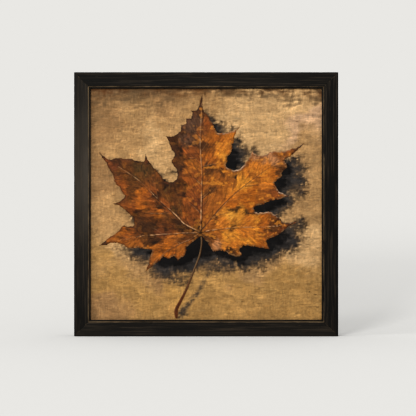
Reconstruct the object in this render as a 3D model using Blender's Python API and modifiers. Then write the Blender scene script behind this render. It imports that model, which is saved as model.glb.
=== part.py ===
"""A square framed picture of a maple leaf, painted on a stretched canvas.

The frame is four mitred black rails held by steel V-nails. A twelve inch canvas on keyed stretcher bars sits
in its rabbet, held by four offset clips. A sawtooth hanger and two bumpers are on the back.

Metres. The picture stands on its bottom rail: +Z is up, the painted side faces -Y and the wall is at +Y.
The origin is the middle of the bottom of the whole object. Depths are counted from the frame's face towards
the wall, and insets are counted from the frame's outer edge towards the picture's middle.
"""

import math

import bmesh
import bpy
from mathutils import Matrix, Vector

# Driving dimensions
CANVAS_SIZE = 0.3048  # a twelve inch canvas, outside its turned edges
RAIL_WIDTH = 0.0205
RAIL_DEPTH = 0.0300
RABBET_WIDTH = 0.0070
RABBET_START = 0.0062  # depth of the rabbet's shoulder
RABBET_PLAY = 0.0008
GAP = 0.0003  # between pieces that touch

# The rail's face, and the lower lip inside it
FACE_WIDTH = 0.0173
LIP_WIDTH = 0.0027
LIP_DROP = 0.0018
LIP_SLOPE = 0.0004
EDGE_CHAMFER = 0.0006

FRAME_SIZE = CANVAS_SIZE + 2 * (RABBET_PLAY + RAIL_WIDTH - RABBET_WIDTH)
HALF_FRAME = FRAME_SIZE / 2
BACK_WALL = RAIL_WIDTH - RABBET_WIDTH

# Paint and canvas, from the front to the back
LEAF_RELIEF = 0.0006
GROUND_THICKNESS = 0.0005
GROUND_SIZE = CANVAS_SIZE - 0.0008
CLOTH_THICKNESS = 0.0008
CLOTH_CORNER = 0.0015
FLAP_WIDTH = 0.0260
GROUND_DEPTH = RABBET_START + GAP
CLOTH_DEPTH = GROUND_DEPTH + GROUND_THICKNESS + GAP
LEAF_DEPTH = GROUND_DEPTH - GAP - LEAF_RELIEF

# Stretcher bars
BAR_WIDTH = 0.0380
BAR_THICKNESS = 0.0180
BAR_BEAD = 0.0060  # the width of the raised bead that the canvas bears on
BAR_RELIEF = 0.0034  # how far the rest of the front slopes away from the canvas
BAR_DEPTH = CLOTH_DEPTH + CLOTH_THICKNESS + GAP
BAR_BACK = BAR_DEPTH + BAR_THICKNESS
HALF_BARS = CANVAS_SIZE / 2 - CLOTH_THICKNESS - GAP
BAR_INSET = HALF_FRAME - HALF_BARS
WINDOW = HALF_BARS - BAR_WIDTH  # half of the opening inside the bars
CLOTH_BACK = BAR_BACK + GAP + CLOTH_THICKNESS

# Corner keys: two thin wedges to a corner, one above the other in the bars' thickness
KEY_THICKNESS = 0.0026
KEY_LEVELS = (0.0150, 0.0200)  # depths of the middle of each wedge
KEY_IN = 0.0140
KEY_OUT = 0.0160
KEY_SPINE = 0.0070
KEY_TIP = -0.0020
KEY_HEEL = 0.0050

# Staples
STAPLE_CROWN = 0.0100
STAPLE_LEG = 0.0070
STAPLE_WIRE = 0.0005
STAPLE_WIDTH = 0.0010
STAPLE_INSET = 0.0330
STAPLE_PLACES = (-0.105, -0.037, 0.037, 0.105)

# V-nails
V_NAIL_LEG = 0.0046
V_NAIL_WALL = 0.0007
V_NAIL_LENGTH = 0.0070
V_NAIL_INSETS = (0.0030, 0.0082)

# Offset clips and their screws
CLIP_PLACES = (-0.080, 0.080)
CLIP_WIDTH = 0.0120
CLIP_SHEET = 0.0012
CLIP_START = 0.0035
CLIP_END = 0.0270
CLIP_BEND = 0.0139
CLIP_RUN = 0.0010
SCREW_INSET = 0.0085
SCREW_SHANK = 0.0014
SCREW_LENGTH = 0.0090
SCREW_HEAD = 0.0033
SCREW_HEAD_HEIGHT = 0.0014
SCREW_SLOT = 0.0007
SCREW_CLEARANCE = 0.0019

# Sawtooth hanger and its nails
HANGER_LENGTH = 0.0460
HANGER_HEIGHT = 0.0090
HANGER_SHEET = 0.0008
HANGER_LIFT = 0.0013
HANGER_TAB = 0.0085
HANGER_RAMP = 0.0020
HANGER_TEETH = 13
HANGER_TOOTH = 0.0013
HANGER_INSET = 0.0070  # of its middle line, from the frame's top
NAIL_SHANK = 0.0006
NAIL_HEAD = 0.0018
NAIL_HEAD_HEIGHT = 0.0007
NAIL_LENGTH = 0.0090
NAIL_CLEARANCE = 0.0010

# Bumpers
BUMPER_RADIUS = 0.0048
BUMPER_THICKNESS = 0.0035
BUMPER_INSET = 0.0068
BUMPER_SIDE = 0.0230

OVERALL_DEPTH = RAIL_DEPTH + GAP + BUMPER_THICKNESS
FRONT_Y = -OVERALL_DEPTH / 2

# The leaf: its veins meet at LEAF_HEART, measured from the picture's middle
LEAF_HEART = (-0.0071, -0.0354)
MM = 0.001
ARC_STEP = 2.6 * MM

# The leaf's outline, clockwise from the notch at its stem, in millimetres from the heart. Each row is a tip or
# a hollow of the margin, and how far the edge that leads to it swells outwards (or, below zero, is scooped).
BASE_LEFT = [
    (-1, -5, 0), (-18, -20, -0.8), (-22, -30, 0.9), (-28.5, -35, 0), (-33, -31, 0), (-42, -34, -0.8),
    (-47, -30.5, 0), (-69, -49, 0.6), (-65, -37, 0), (-61, -23, 0.5),
]
LOWER_LEFT = [
    (-70, -21, -0.6), (-92, -20.5, -0.7), (-97, -16.5, 0), (-112, -13.5, -0.9), (-127, -16.5, 0.7),
    (-113, -5.5, 0.9), (-105, 1, -0.5), (-97, 9, 0.5), (-86, 7.5, -0.8), (-83.5, 12, -0.6),
]
UPPER_LEFT = [
    (-86, 21, -0.6), (-95, 28, 0.7), (-110.5, 36, -0.9), (-99, 41, -0.6), (-96, 47, -0.6), (-103, 57, 0.5),
    (-109, 64, 0.4), (-112, 74, -0.6), (-119, 88, 0.6), (-128, 101, 0.5), (-114, 92, -1.4),
    (-100, 93.5, 0.5), (-82, 91, 0.6), (-71.5, 88.5, 0), (-69.5, 97.5, 0), (-60, 82.5, -0.7),
    (-49, 70, 0.5), (-46.5, 65, -0.3), (-38, 63.5, -0.4), (-31, 66.5, -1.1),
]
TOP_LOBE = [
    (-30, 78, -0.8), (-37, 91, 0.7), (-33.5, 95, 0), (-33.5, 101, -0.3), (-38.5, 110, 0.4),
    (-43.5, 121.5, -0.3), (-33, 122.5, -0.7), (-25, 128.5, -0.5), (-24.5, 135.5, 0), (-18.5, 137.5, -0.5),
    (-18, 144, 0), (-12.5, 144, 0), (-10.5, 151.5, -0.4), (-11.5, 154, 0), (-4, 154, 0), (2, 174.5, -0.9),
    (4.2, 153, -0.8), (16, 136.5, 0.6), (20.5, 125.8, 0), (34, 126, -0.9), (49.5, 133.5, -1.1),
    (42.5, 120, -0.9), (40, 110, 0.4), (38.5, 101, 0), (34, 96, 0), (31.5, 86, 0.4),
]
UPPER_RIGHT = [
    (36, 80.8, -0.7), (44, 79, -0.8), (52, 81.8, -0.8), (65.5, 102, -1.1), (72, 97.5, -0.6),
    (81, 97.5, -0.9), (92, 102.5, 0.9), (99, 101.3, 0), (116, 105.5, -0.6), (131, 112.5, -0.8),
    (113, 96, 0.7), (105.5, 91, 0), (109, 82.5, 0.4), (103, 75, 0), (101, 69, 0.4), (93.5, 62.5, -0.6),
    (97, 54, -0.6), (111, 46, -0.9), (90, 41, 0.6), (76, 35, 0.5), (69.5, 32.5, 0),
]
LOWER_RIGHT = [
    (69.5, 26, -1.8), (80, 25, -0.5), (90, 24.5, 0.6), (104, 12.8, 0.8), (111, 11.5, -0.5),
    (121.5, 14, -0.6), (109, 5.5, -0.5), (99, -2.5, 0.4), (84, -9, 0.5), (86.5, -20.5, -0.9), (70, -18, 0.4),
    (54, -16.5, -0.4),
]
BASE_RIGHT = [
    (50, -20.5, -0.4), (51.5, -29, -0.4), (49, -31.3, 0.3), (43.5, -30.8, 0.3), (34, -25, 0.6),
    (25, -22.8, -0.5), (16, -23.8, 0.4), (9.5, -13.5, 0.6), (2, -4.8, 0.4),
]
LEAF_MARGIN = BASE_LEFT + LOWER_LEFT + UPPER_LEFT + TOP_LOBE + UPPER_RIGHT + LOWER_RIGHT + BASE_RIGHT

# The stem's middle line in millimetres from the heart, with its width at each point
STEM_LINE = [
    (1.2, -6, 2.0), (1.2, -15, 2.2), (-1.2, -29, 2.6), (-6.4, -43, 2.8), (-12.2, -58, 3.2), (-19.0, -74.5, 3.8),
    (-26.0, -88.5, 4.4), (-30.3, -97, 4.8), (-31.0, -104, 4.4), (-30.2, -109, 2.6),
]
STEM_STEPS = 4

BLACK_PAINT = ("black_paint", (0.030, 0.027, 0.024), 0.48, 0.0)
PINE = ("pine", (0.62, 0.43, 0.24), 0.65, 0.0)
BEECH = ("beech", (0.66, 0.46, 0.29), 0.60, 0.0)
CLOTH = ("raw_canvas", (0.66, 0.57, 0.42), 0.90, 0.0)
OCHRE_PAINT = ("ochre_paint", (0.50, 0.31, 0.13), 0.60, 0.0)
RUST_PAINT = ("rust_paint", (0.42, 0.16, 0.03), 0.55, 0.0)
UMBER_PAINT = ("umber_paint", (0.20, 0.07, 0.02), 0.55, 0.0)
STEEL = ("zinc_steel", (0.62, 0.62, 0.60), 0.35, 1.0)
BRASSED = ("brassed_steel", (0.71, 0.56, 0.29), 0.35, 1.0)
FELT = ("brown_felt", (0.16, 0.10, 0.06), 0.95, 0.0)


def clear_scene():
    for found in list(bpy.data.objects):
        bpy.data.objects.remove(found)


def new_collection(name):
    made = bpy.data.collections.new(name)
    bpy.context.scene.collection.children.link(made)
    return made


def paint(finish):
    """The material of that name, made the first time it is asked for."""
    name, colour, roughness, metallic = finish
    found = bpy.data.materials.get(name)
    if found:
        return found
    made = bpy.data.materials.new(name)
    made.use_nodes = True
    shader = made.node_tree.nodes["Principled BSDF"]
    shader.inputs["Base Color"].default_value = (*colour, 1)
    shader.inputs["Roughness"].default_value = roughness
    shader.inputs["Metallic"].default_value = metallic
    return made


def hang_in_picture(made):
    """Parents an object to the empty in the middle of the picture's face, which all places are counted from."""
    made.parent = picture_middle
    return made


def piece(name, mesh, finish):
    mesh.materials.clear()
    mesh.materials.append(paint(finish))
    made = bpy.data.objects.new(name, mesh)
    picture.objects.link(made)
    return hang_in_picture(made)


def cutter(name, mesh):
    made = bpy.data.objects.new(name, mesh)
    cutters.objects.link(made)
    made.hide_render = True
    made.display_type = "WIRE"
    return hang_in_picture(made)


def cut(target, tool):
    boolean = target.modifiers.new("cut_by_" + tool.name, "BOOLEAN")
    boolean.operation = "DIFFERENCE"
    boolean.object = tool


def extruded(name, outline, thickness):
    """A mesh of a flat outline, filled and extruded by half the thickness to each side of its plane."""
    curve = bpy.data.curves.new(name, "CURVE")
    curve.dimensions = "2D"
    curve.fill_mode = "BOTH"
    curve.extrude = thickness / 2
    spline = curve.splines.new("POLY")
    spline.points.add(len(outline) - 1)
    for point, (x, y) in zip(spline.points, outline):
        point.co = (x, y, 0, 1)
    spline.use_cyclic_u = True
    drawn = bpy.data.objects.new(name, curve)
    cutters.objects.link(drawn)
    bpy.context.view_layer.update()
    mesh = bpy.data.meshes.new_from_object(drawn.evaluated_get(bpy.context.evaluated_depsgraph_get()))
    bpy.data.objects.remove(drawn)
    bm = bmesh.new()
    bm.from_mesh(mesh)
    bmesh.ops.remove_doubles(bm, verts=bm.verts, dist=1e-6)
    bmesh.ops.recalc_face_normals(bm, faces=bm.faces)
    bm.to_mesh(mesh)
    bm.free()
    mesh.name = name
    return mesh


def front_plate(name, outline, depth, thickness):
    """A flat outline in (x, z) from the picture's middle, from depth to depth + thickness."""
    mesh = extruded(name, outline, thickness)
    # The outline's plane turns upright, with its own normal towards the viewer.
    upright = Matrix.Rotation(math.radians(90), 4, "X")
    mesh.transform(Matrix.Translation((0, depth + thickness / 2, 0)) @ upright)
    return mesh


def mitred_stick(name, section, half_length):
    """A stick along the bottom of a square, its section given as (inset, depth), mitred at both ends."""
    mesh = extruded(name, section, 2 * half_length)
    bm = bmesh.new()
    bm.from_mesh(mesh)
    # The section's first axis points up, its second to the wall, and the stick runs along X.
    stand = Matrix(((0, 0, -1, 0), (0, 1, 0, 0), (1, 0, 0, -half_length), (0, 0, 0, 1)))
    bmesh.ops.transform(bm, matrix=stand, verts=bm.verts)
    for side in (-1, 1):
        outward = Vector((side, 0, 1)).normalized()
        corner = Vector((side * half_length, 0, -half_length)) - outward * GAP / 2
        everything = bm.verts[:] + bm.edges[:] + bm.faces[:]
        cut_open = bmesh.ops.bisect_plane(
            bm, geom=everything, plane_co=corner, plane_no=outward, clear_outer=True
        )["geom_cut"]
        bmesh.ops.edgenet_fill(bm, edges=[e for e in cut_open if isinstance(e, bmesh.types.BMEdge)])
    bmesh.ops.recalc_face_normals(bm, faces=bm.faces)
    bm.to_mesh(mesh)
    bm.free()
    return mesh


def box_mesh(name, low, high):
    mesh = bpy.data.meshes.new(name)
    bm = bmesh.new()
    bmesh.ops.create_cube(bm, size=1)
    low, high = Vector(low), Vector(high)
    size = high - low
    bmesh.ops.scale(bm, vec=size, verts=bm.verts)
    bmesh.ops.translate(bm, vec=(low + high) / 2, verts=bm.verts)
    bm.to_mesh(mesh)
    bm.free()
    return mesh


def turned(name, profile, place, steps=20):
    """A round piece on an axis towards the wall. The profile runs down its outer side as (radius, depth)."""
    mesh = bpy.data.meshes.new(name)
    bm = bmesh.new()
    line = [bm.verts.new((radius, 0, -depth)) for radius, depth in profile]
    for a, b in zip(line, line[1:]):
        bm.edges.new((a, b))
    bm.to_mesh(mesh)
    bm.free()
    holder = bpy.data.objects.new(name, mesh)
    cutters.objects.link(holder)
    screw = holder.modifiers.new("turn", "SCREW")
    screw.steps = screw.render_steps = steps
    screw.use_merge_vertices = True
    screw.merge_threshold = 1e-5
    bpy.context.view_layer.update()
    made = bpy.data.meshes.new_from_object(holder.evaluated_get(bpy.context.evaluated_depsgraph_get()))
    bpy.data.objects.remove(holder)
    bm = bmesh.new()
    bm.from_mesh(made)
    bmesh.ops.recalc_face_normals(bm, faces=bm.faces)
    bm.to_mesh(made)
    bm.free()
    # The turning axis, which ran down, now runs towards the wall.
    made.transform(Matrix.Translation(place) @ Matrix.Rotation(math.radians(90), 4, "X"))
    made.shade_smooth()
    made.set_sharp_from_angle(angle=math.radians(35))
    made.name = name
    return made


# The four sides of the square, in the order in which a quarter turn carries each to the next
SIDES = ("bottom", "left", "top", "right")
QUARTER = math.radians(90)


def turn_to_side(made, side):
    """Turns a piece made for the bottom side about the picture's middle."""
    made.rotation_euler = (0, SIDES.index(side) * QUARTER, 0)
    return made


def rail_section():
    lip = FACE_WIDTH + (RAIL_WIDTH - FACE_WIDTH - LIP_WIDTH)
    return [
        (0, EDGE_CHAMFER), (EDGE_CHAMFER, 0), (FACE_WIDTH - EDGE_CHAMFER / 2, 0),
        (FACE_WIDTH, EDGE_CHAMFER / 2), (lip, LIP_DROP), (RAIL_WIDTH - EDGE_CHAMFER, LIP_DROP + LIP_SLOPE),
        (RAIL_WIDTH, LIP_DROP + LIP_SLOPE + EDGE_CHAMFER), (RAIL_WIDTH, RABBET_START),
        (BACK_WALL, RABBET_START), (BACK_WALL, RAIL_DEPTH), (0, RAIL_DEPTH),
    ]


def bar_section():
    return [
        (0, BAR_DEPTH), (BAR_BEAD, BAR_DEPTH), (BAR_WIDTH, BAR_DEPTH + BAR_RELIEF), (BAR_WIDTH, BAR_BACK),
        (0, BAR_BACK),
    ]


def make_rails():
    mesh = mitred_stick("rail", rail_section(), HALF_FRAME)
    return {side: turn_to_side(piece(f"frame_rail_{side}", mesh, BLACK_PAINT), side) for side in SIDES}


def make_bars():
    mesh = mitred_stick("stretcher_bar", bar_section(), HALF_BARS)
    return {side: turn_to_side(piece(f"stretcher_bar_{side}", mesh, PINE), side) for side in SIDES}


def corner_sides(side):
    """The side that a corner starts, and the side before it, which meets it at its left end."""
    return SIDES[SIDES.index(side)], SIDES[(SIDES.index(side) + 1) % 4]


def v_outline(inset, wall):
    """A V on the mitre of the bottom left corner, its point towards the corner, with walls this thick."""
    point = -HALF_FRAME + inset
    leg, spare = V_NAIL_LEG, (wall - V_NAIL_WALL) / 2
    low, inner, end = point - spare, point + V_NAIL_WALL + spare, point + leg + spare
    return [(low, low), (end, low), (end, inner), (inner, inner), (inner, end), (low, end)]


def make_v_nails(rails):
    slot_wall = V_NAIL_WALL + 2 * GAP
    for number, inset in enumerate(V_NAIL_INSETS, 1):
        start = RAIL_DEPTH - V_NAIL_LENGTH
        nail = front_plate("v_nail", v_outline(inset, V_NAIL_WALL), start, V_NAIL_LENGTH)
        slot = front_plate("v_slot", v_outline(inset, slot_wall), start - GAP, V_NAIL_LENGTH + 0.002)
        for side in SIDES:
            here, before = corner_sides(side)
            turn_to_side(piece(f"v_nail_{here}_{before}_{number}", nail, STEEL), side)
            tool = turn_to_side(cutter(f"v_slot_{here}_{before}_{number}", slot), side)
            cut(rails[here], tool)
            cut(rails[before], tool)


def key_outline(grow=0.0):
    """A wedge along the bottom bar at the bottom left corner. It is narrow at its tip, inside the left bar."""
    inner = -WINDOW
    return [
        (inner - KEY_IN - grow, inner - KEY_SPINE - grow), (inner + KEY_OUT + grow, inner - KEY_SPINE - grow),
        (inner + KEY_OUT + grow, inner + KEY_HEEL + grow), (inner - KEY_IN - grow, inner + KEY_TIP + grow),
    ]


def make_keys(bars):
    for lies_along, level in enumerate(KEY_LEVELS):
        outline, slot_outline = key_outline(), key_outline(GAP)
        if lies_along:
            # The second wedge of a corner lies along the other bar.
            outline = [(z, x) for x, z in outline]
            slot_outline = [(z, x) for x, z in slot_outline]
        key = front_plate("corner_key", outline, level - KEY_THICKNESS / 2, KEY_THICKNESS)
        slot_thickness = KEY_THICKNESS + 2 * GAP
        slot = front_plate("key_slot", slot_outline, level - slot_thickness / 2, slot_thickness)
        for side in SIDES:
            here, before = corner_sides(side)
            name = f"{here}_{before}_{'ab'[lies_along]}"
            turn_to_side(piece(f"corner_key_{name}", key, BEECH), side)
            tool = turn_to_side(cutter(f"key_slot_{name}", slot), side)
            cut(bars[here], tool)
            cut(bars[before], tool)


def make_canvas():
    """A shallow tray of cloth: an open box with its back's edge turned in, thickened inwards."""
    mesh = box_mesh("canvas", (-CANVAS_SIZE / 2, CLOTH_DEPTH, -CANVAS_SIZE / 2),
                    (CANVAS_SIZE / 2, CLOTH_BACK, CANVAS_SIZE / 2))
    bm = bmesh.new()
    bm.from_mesh(mesh)
    back = max(bm.faces, key=lambda face: face.calc_center_median().y)
    bmesh.ops.inset_region(bm, faces=[back], thickness=FLAP_WIDTH, use_even_offset=True)
    bmesh.ops.delete(bm, geom=[back], context="FACES_ONLY")
    front_edges = [e for e in bm.edges if all(v.co.y < CLOTH_DEPTH + 1e-5 for v in e.verts)]
    bmesh.ops.bevel(bm, geom=front_edges, offset=CLOTH_CORNER, segments=3, profile=0.5, affect="EDGES")
    bm.to_mesh(mesh)
    bm.free()
    canvas = piece("canvas", mesh, CLOTH)
    shell = canvas.modifiers.new("cloth", "SOLIDIFY")
    shell.thickness = CLOTH_THICKNESS
    shell.offset = -1
    shell.use_even_offset = True
    return canvas


def staple_outline():
    """A staple seen along the bar's edge, as (along, depth), its crown just clear of the cloth."""
    half, wire = STAPLE_CROWN / 2, STAPLE_WIRE
    crown = CLOTH_BACK + GAP
    end = crown - STAPLE_LEG
    return [
        (-half, end), (-half + wire, end), (-half + wire, crown), (half - wire, crown), (half - wire, end),
        (half, end), (half, crown + wire), (-half, crown + wire),
    ]


def staple_mesh():
    mesh = extruded("staple", staple_outline(), STAPLE_WIDTH)
    mesh.transform(Matrix.Translation((0, 0, -HALF_FRAME + STAPLE_INSET)))
    return mesh


def leg_holes_mesh():
    """Boxes round the legs of every staple on one side."""
    bm = bmesh.new()
    for place in STAPLE_PLACES:
        for leg in (-1, 1):
            middle = Vector((
                place + leg * (STAPLE_CROWN - STAPLE_WIRE) / 2,
                CLOTH_BACK + GAP - STAPLE_LEG / 2,
                -HALF_FRAME + STAPLE_INSET,
            ))
            size = (STAPLE_WIRE + 2 * GAP, STAPLE_LEG + 2 * GAP, STAPLE_WIDTH + 2 * GAP)
            made = bmesh.ops.create_cube(bm, size=1)["verts"]
            bmesh.ops.scale(bm, vec=size, verts=made)
            bmesh.ops.translate(bm, vec=middle, verts=made)
    mesh = bpy.data.meshes.new("leg_holes")
    bm.to_mesh(mesh)
    bm.free()
    return mesh


def make_staples(bars, canvas):
    staple, holes = staple_mesh(), leg_holes_mesh()
    for side in SIDES:
        for number, place in enumerate(STAPLE_PLACES, 1):
            made = turn_to_side(piece(f"staple_{side}_{number}", staple, STEEL), side)
            turn = Matrix.Rotation(made.rotation_euler.y, 3, "Y")
            made.location = turn @ Vector((place, 0, 0))
        tool = turn_to_side(cutter(f"leg_holes_{side}", holes), side)
        cut(bars[side], tool)
        cut(canvas, tool)


def clip_outline():
    """An offset clip seen from its side, as (depth, inset): one foot on the frame, the other on the canvas."""
    high, low = RAIL_DEPTH + GAP, CLOTH_BACK + GAP
    bend_end = CLIP_BEND + CLIP_RUN
    return [
        (high, CLIP_START), (high, CLIP_BEND), (low, bend_end), (low, CLIP_END), (low + CLIP_SHEET, CLIP_END),
        (low + CLIP_SHEET, bend_end + CLIP_RUN), (high + CLIP_SHEET, bend_end), (high + CLIP_SHEET, CLIP_START),
    ]


def clip_mesh():
    mesh = extruded("offset_clip", clip_outline(), CLIP_WIDTH)
    # The outline's first axis is depth and its second is inset; the clip's width runs along its side.
    stand = Matrix(((0, 0, 1, 0), (1, 0, 0, 0), (0, 1, 0, -HALF_FRAME), (0, 0, 0, 1)))
    mesh.transform(stand)
    return mesh


def screw_profile(head_depth):
    """A pan head and a plain shank with a point, the head just clear of the sheet it holds."""
    head_end = head_depth + SCREW_HEAD_HEIGHT
    return [
        (0, head_end), (SCREW_HEAD * 0.62, head_end), (SCREW_HEAD, head_end - SCREW_HEAD_HEIGHT * 0.6),
        (SCREW_HEAD, head_depth), (SCREW_SHANK, head_depth), (SCREW_SHANK, head_depth - SCREW_LENGTH * 0.8),
        (0, head_depth - SCREW_LENGTH),
    ]


def make_clips(rails):
    """Two offset clips, each with its screw, on each of the left and right rails."""
    clip = clip_mesh()
    head_depth = RAIL_DEPTH + 2 * GAP + CLIP_SHEET
    middle = (0, 0, -HALF_FRAME + SCREW_INSET)
    screw = turned("clip_screw", screw_profile(head_depth), middle)
    slot_reach = SCREW_HEAD + 0.001
    slot_floor = head_depth + SCREW_HEAD_HEIGHT * 0.45
    slot = box_mesh("screw_slot", (-SCREW_SLOT / 2, slot_floor, middle[2] - slot_reach),
                    (SCREW_SLOT / 2, slot_floor + 0.003, middle[2] + slot_reach))
    pilot_end = head_depth - SCREW_LENGTH - GAP
    pilot = turned("pilot_hole", [(0, head_depth), (SCREW_CLEARANCE, head_depth),
                                  (SCREW_CLEARANCE, pilot_end), (0, pilot_end)], middle)
    for side in ("left", "right"):
        for number, place in enumerate(CLIP_PLACES, 1):
            name = f"{side}_{number}"
            made = piece(f"offset_clip_{name}", clip, STEEL)
            fixing = piece(f"clip_screw_{name}", screw, STEEL)
            hole = cutter(f"pilot_hole_{name}", pilot)
            groove = cutter(f"screw_slot_{name}", slot)
            for each in (made, fixing, hole, groove):
                turn_to_side(each, side)
                each.location = Matrix.Rotation(each.rotation_euler.y, 3, "Y") @ Vector((place, 0, 0))
            cut(made, hole)
            cut(rails[side], hole)
            cut(fixing, groove)


def hanger_outline():
    """A strip with rounded ends and teeth along its lower edge, in (x, z) from its own middle.

    The row of teeth is arched: the notches are deepest in the middle.
    """
    half, rise = HANGER_LENGTH / 2, HANGER_HEIGHT / 2
    toothed = half - HANGER_TAB - HANGER_RAMP - 0.001
    pitch = 2 * toothed / HANGER_TEETH
    corner = rise * 0.45
    points = [(half, rise - corner), (half - corner, rise), (-half + corner, rise), (-half, rise - corner),
              (-half, -rise + corner), (-half + corner, -rise)]
    for tooth in range(HANGER_TEETH):
        start = -toothed + tooth * pitch
        notch = HANGER_TOOTH * (1 - 0.35 * ((start + pitch / 2) / toothed) ** 2)
        points += [(start + pitch * 0.08, -rise), (start + pitch / 2, -rise + notch),
                   (start + pitch * 0.92, -rise)]
    return points + [(half - corner, -rise), (half, -rise + corner)]


def make_hanger(rails):
    """The sawtooth hanger, whose middle stands off the wood, and the two nails through its ends."""
    height = HALF_FRAME - HANGER_INSET
    low = RAIL_DEPTH + GAP
    mesh = front_plate("sawtooth_hanger", [(x, z + height) for x, z in hanger_outline()], low, HANGER_SHEET)
    bm = bmesh.new()
    bm.from_mesh(mesh)
    tab_end = HANGER_LENGTH / 2 - HANGER_TAB
    for line in (tab_end, tab_end - HANGER_RAMP, -tab_end, -tab_end + HANGER_RAMP):
        everything = bm.verts[:] + bm.edges[:] + bm.faces[:]
        bmesh.ops.bisect_plane(bm, geom=everything, plane_co=(line, 0, 0), plane_no=(1, 0, 0))
    for vert in bm.verts:
        if abs(vert.co.x) < tab_end - HANGER_RAMP / 2:
            vert.co.y += HANGER_LIFT
    bmesh.ops.triangulate(bm, faces=bm.faces)
    bm.to_mesh(mesh)
    bm.free()
    hanger = piece("sawtooth_hanger", mesh, BRASSED)
    head = low + HANGER_SHEET + GAP
    nail_end = head - NAIL_LENGTH
    profile = [(0, head + NAIL_HEAD_HEIGHT), (NAIL_HEAD * 0.7, head + NAIL_HEAD_HEIGHT),
               (NAIL_HEAD, head + NAIL_HEAD_HEIGHT / 2), (NAIL_HEAD, head), (NAIL_SHANK, head),
               (NAIL_SHANK, nail_end + 0.001), (0, nail_end)]
    hole_profile = [(0, head), (NAIL_CLEARANCE, head), (NAIL_CLEARANCE, nail_end - GAP), (0, nail_end - GAP)]
    for side, sign in (("left", -1), ("right", 1)):
        place = (sign * (HANGER_LENGTH - HANGER_TAB) / 2, 0, height)
        piece(f"hanger_nail_{side}", turned("hanger_nail", profile, place, 16), BRASSED)
        hole = cutter(f"nail_hole_{side}", turned("nail_hole", hole_profile, place, 16))
        cut(hanger, hole)
        cut(rails["top"], hole)


def make_bumpers():
    low, high = RAIL_DEPTH + GAP, RAIL_DEPTH + GAP + BUMPER_THICKNESS
    edge = 0.0005
    profile = [(0, high), (BUMPER_RADIUS - edge, high), (BUMPER_RADIUS, high - edge), (BUMPER_RADIUS, low),
               (0, low)]
    for side, sign in (("left", -1), ("right", 1)):
        place = (sign * (HALF_FRAME - BUMPER_SIDE), 0, -HALF_FRAME + BUMPER_INSET)
        piece(f"wall_bumper_{side}", turned("wall_bumper", profile, place, 28), FELT)


def swollen_edges(rows):
    """Points round the margin: each edge is an arc that swells by its row's amount. The rows go clockwise."""
    points = []
    for (x0, z0, _), (x1, z1, swell) in zip(rows[-1:] + rows[:-1], rows):
        start, end = Vector((x0, z0)) * MM, Vector((x1, z1)) * MM
        chord = end - start
        outward = Vector((-chord.y, chord.x)).normalized()
        steps = max(1, round(chord.length / ARC_STEP)) if swell else 1
        for step in range(1, steps + 1):
            share = step / steps
            arch = 4 * share * (1 - share) * swell * MM
            points.append(start + chord * share + outward * arch)
    return [(LEAF_HEART[0] + p.x, LEAF_HEART[1] + p.y) for p in points]


def smooth_line(points, steps):
    """A Catmull-Rom line through the points, with this many steps between each two."""
    ends = [2 * points[0] - points[1]] + points + [2 * points[-1] - points[-2]]
    line = []
    for a, b, c, d in zip(ends, ends[1:], ends[2:], ends[3:]):
        for step in range(steps):
            t = step / steps
            line.append(0.5 * (2 * b + (c - a) * t + (2 * a - 5 * b + 4 * c - d) * t**2
                               + (3 * b - a - 3 * c + d) * t**3))
    return line + [points[-1]]


def stem_outline():
    """Both sides of the stem, from its middle line and widths."""
    line = smooth_line([Vector(row) * MM for row in STEM_LINE], STEM_STEPS)
    left, right = [], []
    for i, point in enumerate(line):
        before, after = line[max(i - 1, 0)], line[min(i + 1, len(line) - 1)]
        along = (after - before).xy.normalized()
        across = Vector((-along.y, along.x)) * point.z / 2
        left.append(point.xy + across)
        right.append(point.xy - across)
    return [(LEAF_HEART[0] + p.x, LEAF_HEART[1] + p.y) for p in left + right[::-1]]


def make_painting():
    half = GROUND_SIZE / 2
    square = [(-half, -half), (half, -half), (half, half), (-half, half)]
    piece("paint_ground", front_plate("paint_ground", square, GROUND_DEPTH, GROUND_THICKNESS), OCHRE_PAINT)
    leaf = front_plate("painted_leaf", swollen_edges(LEAF_MARGIN), LEAF_DEPTH, LEAF_RELIEF)
    piece("painted_leaf", leaf, RUST_PAINT)
    stem = front_plate("painted_stem", stem_outline(), LEAF_DEPTH, LEAF_RELIEF)
    piece("painted_stem", stem, UMBER_PAINT)


clear_scene()
picture = new_collection("framed_maple_leaf_picture")
cutters = new_collection("cutters")
picture_middle = bpy.data.objects.new("picture_middle", None)
picture.objects.link(picture_middle)
picture_middle.location = (0, FRONT_Y, HALF_FRAME)

frame_rails = make_rails()
stretcher_bars = make_bars()
make_v_nails(frame_rails)
make_keys(stretcher_bars)
make_staples(stretcher_bars, make_canvas())
make_clips(frame_rails)
make_hanger(frame_rails)
make_bumpers()
make_painting()
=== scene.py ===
# %% [markdown]
# # A maple leaf in oils, in a black wooden frame
#
# The construction model already holds every real piece of this picture at its real size: four mitred
# rails, a canvas on keyed bars, and the fittings on the back. What it lacks is looks. In this lesson we
# paint the picture stroke by stroke with arrays, turn the paint into a mesh with real thickness, distress
# the black frame, and give bare wood, cloth, steel and felt their own finishes. We start by loading the
# model as a fixed frame.

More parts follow.
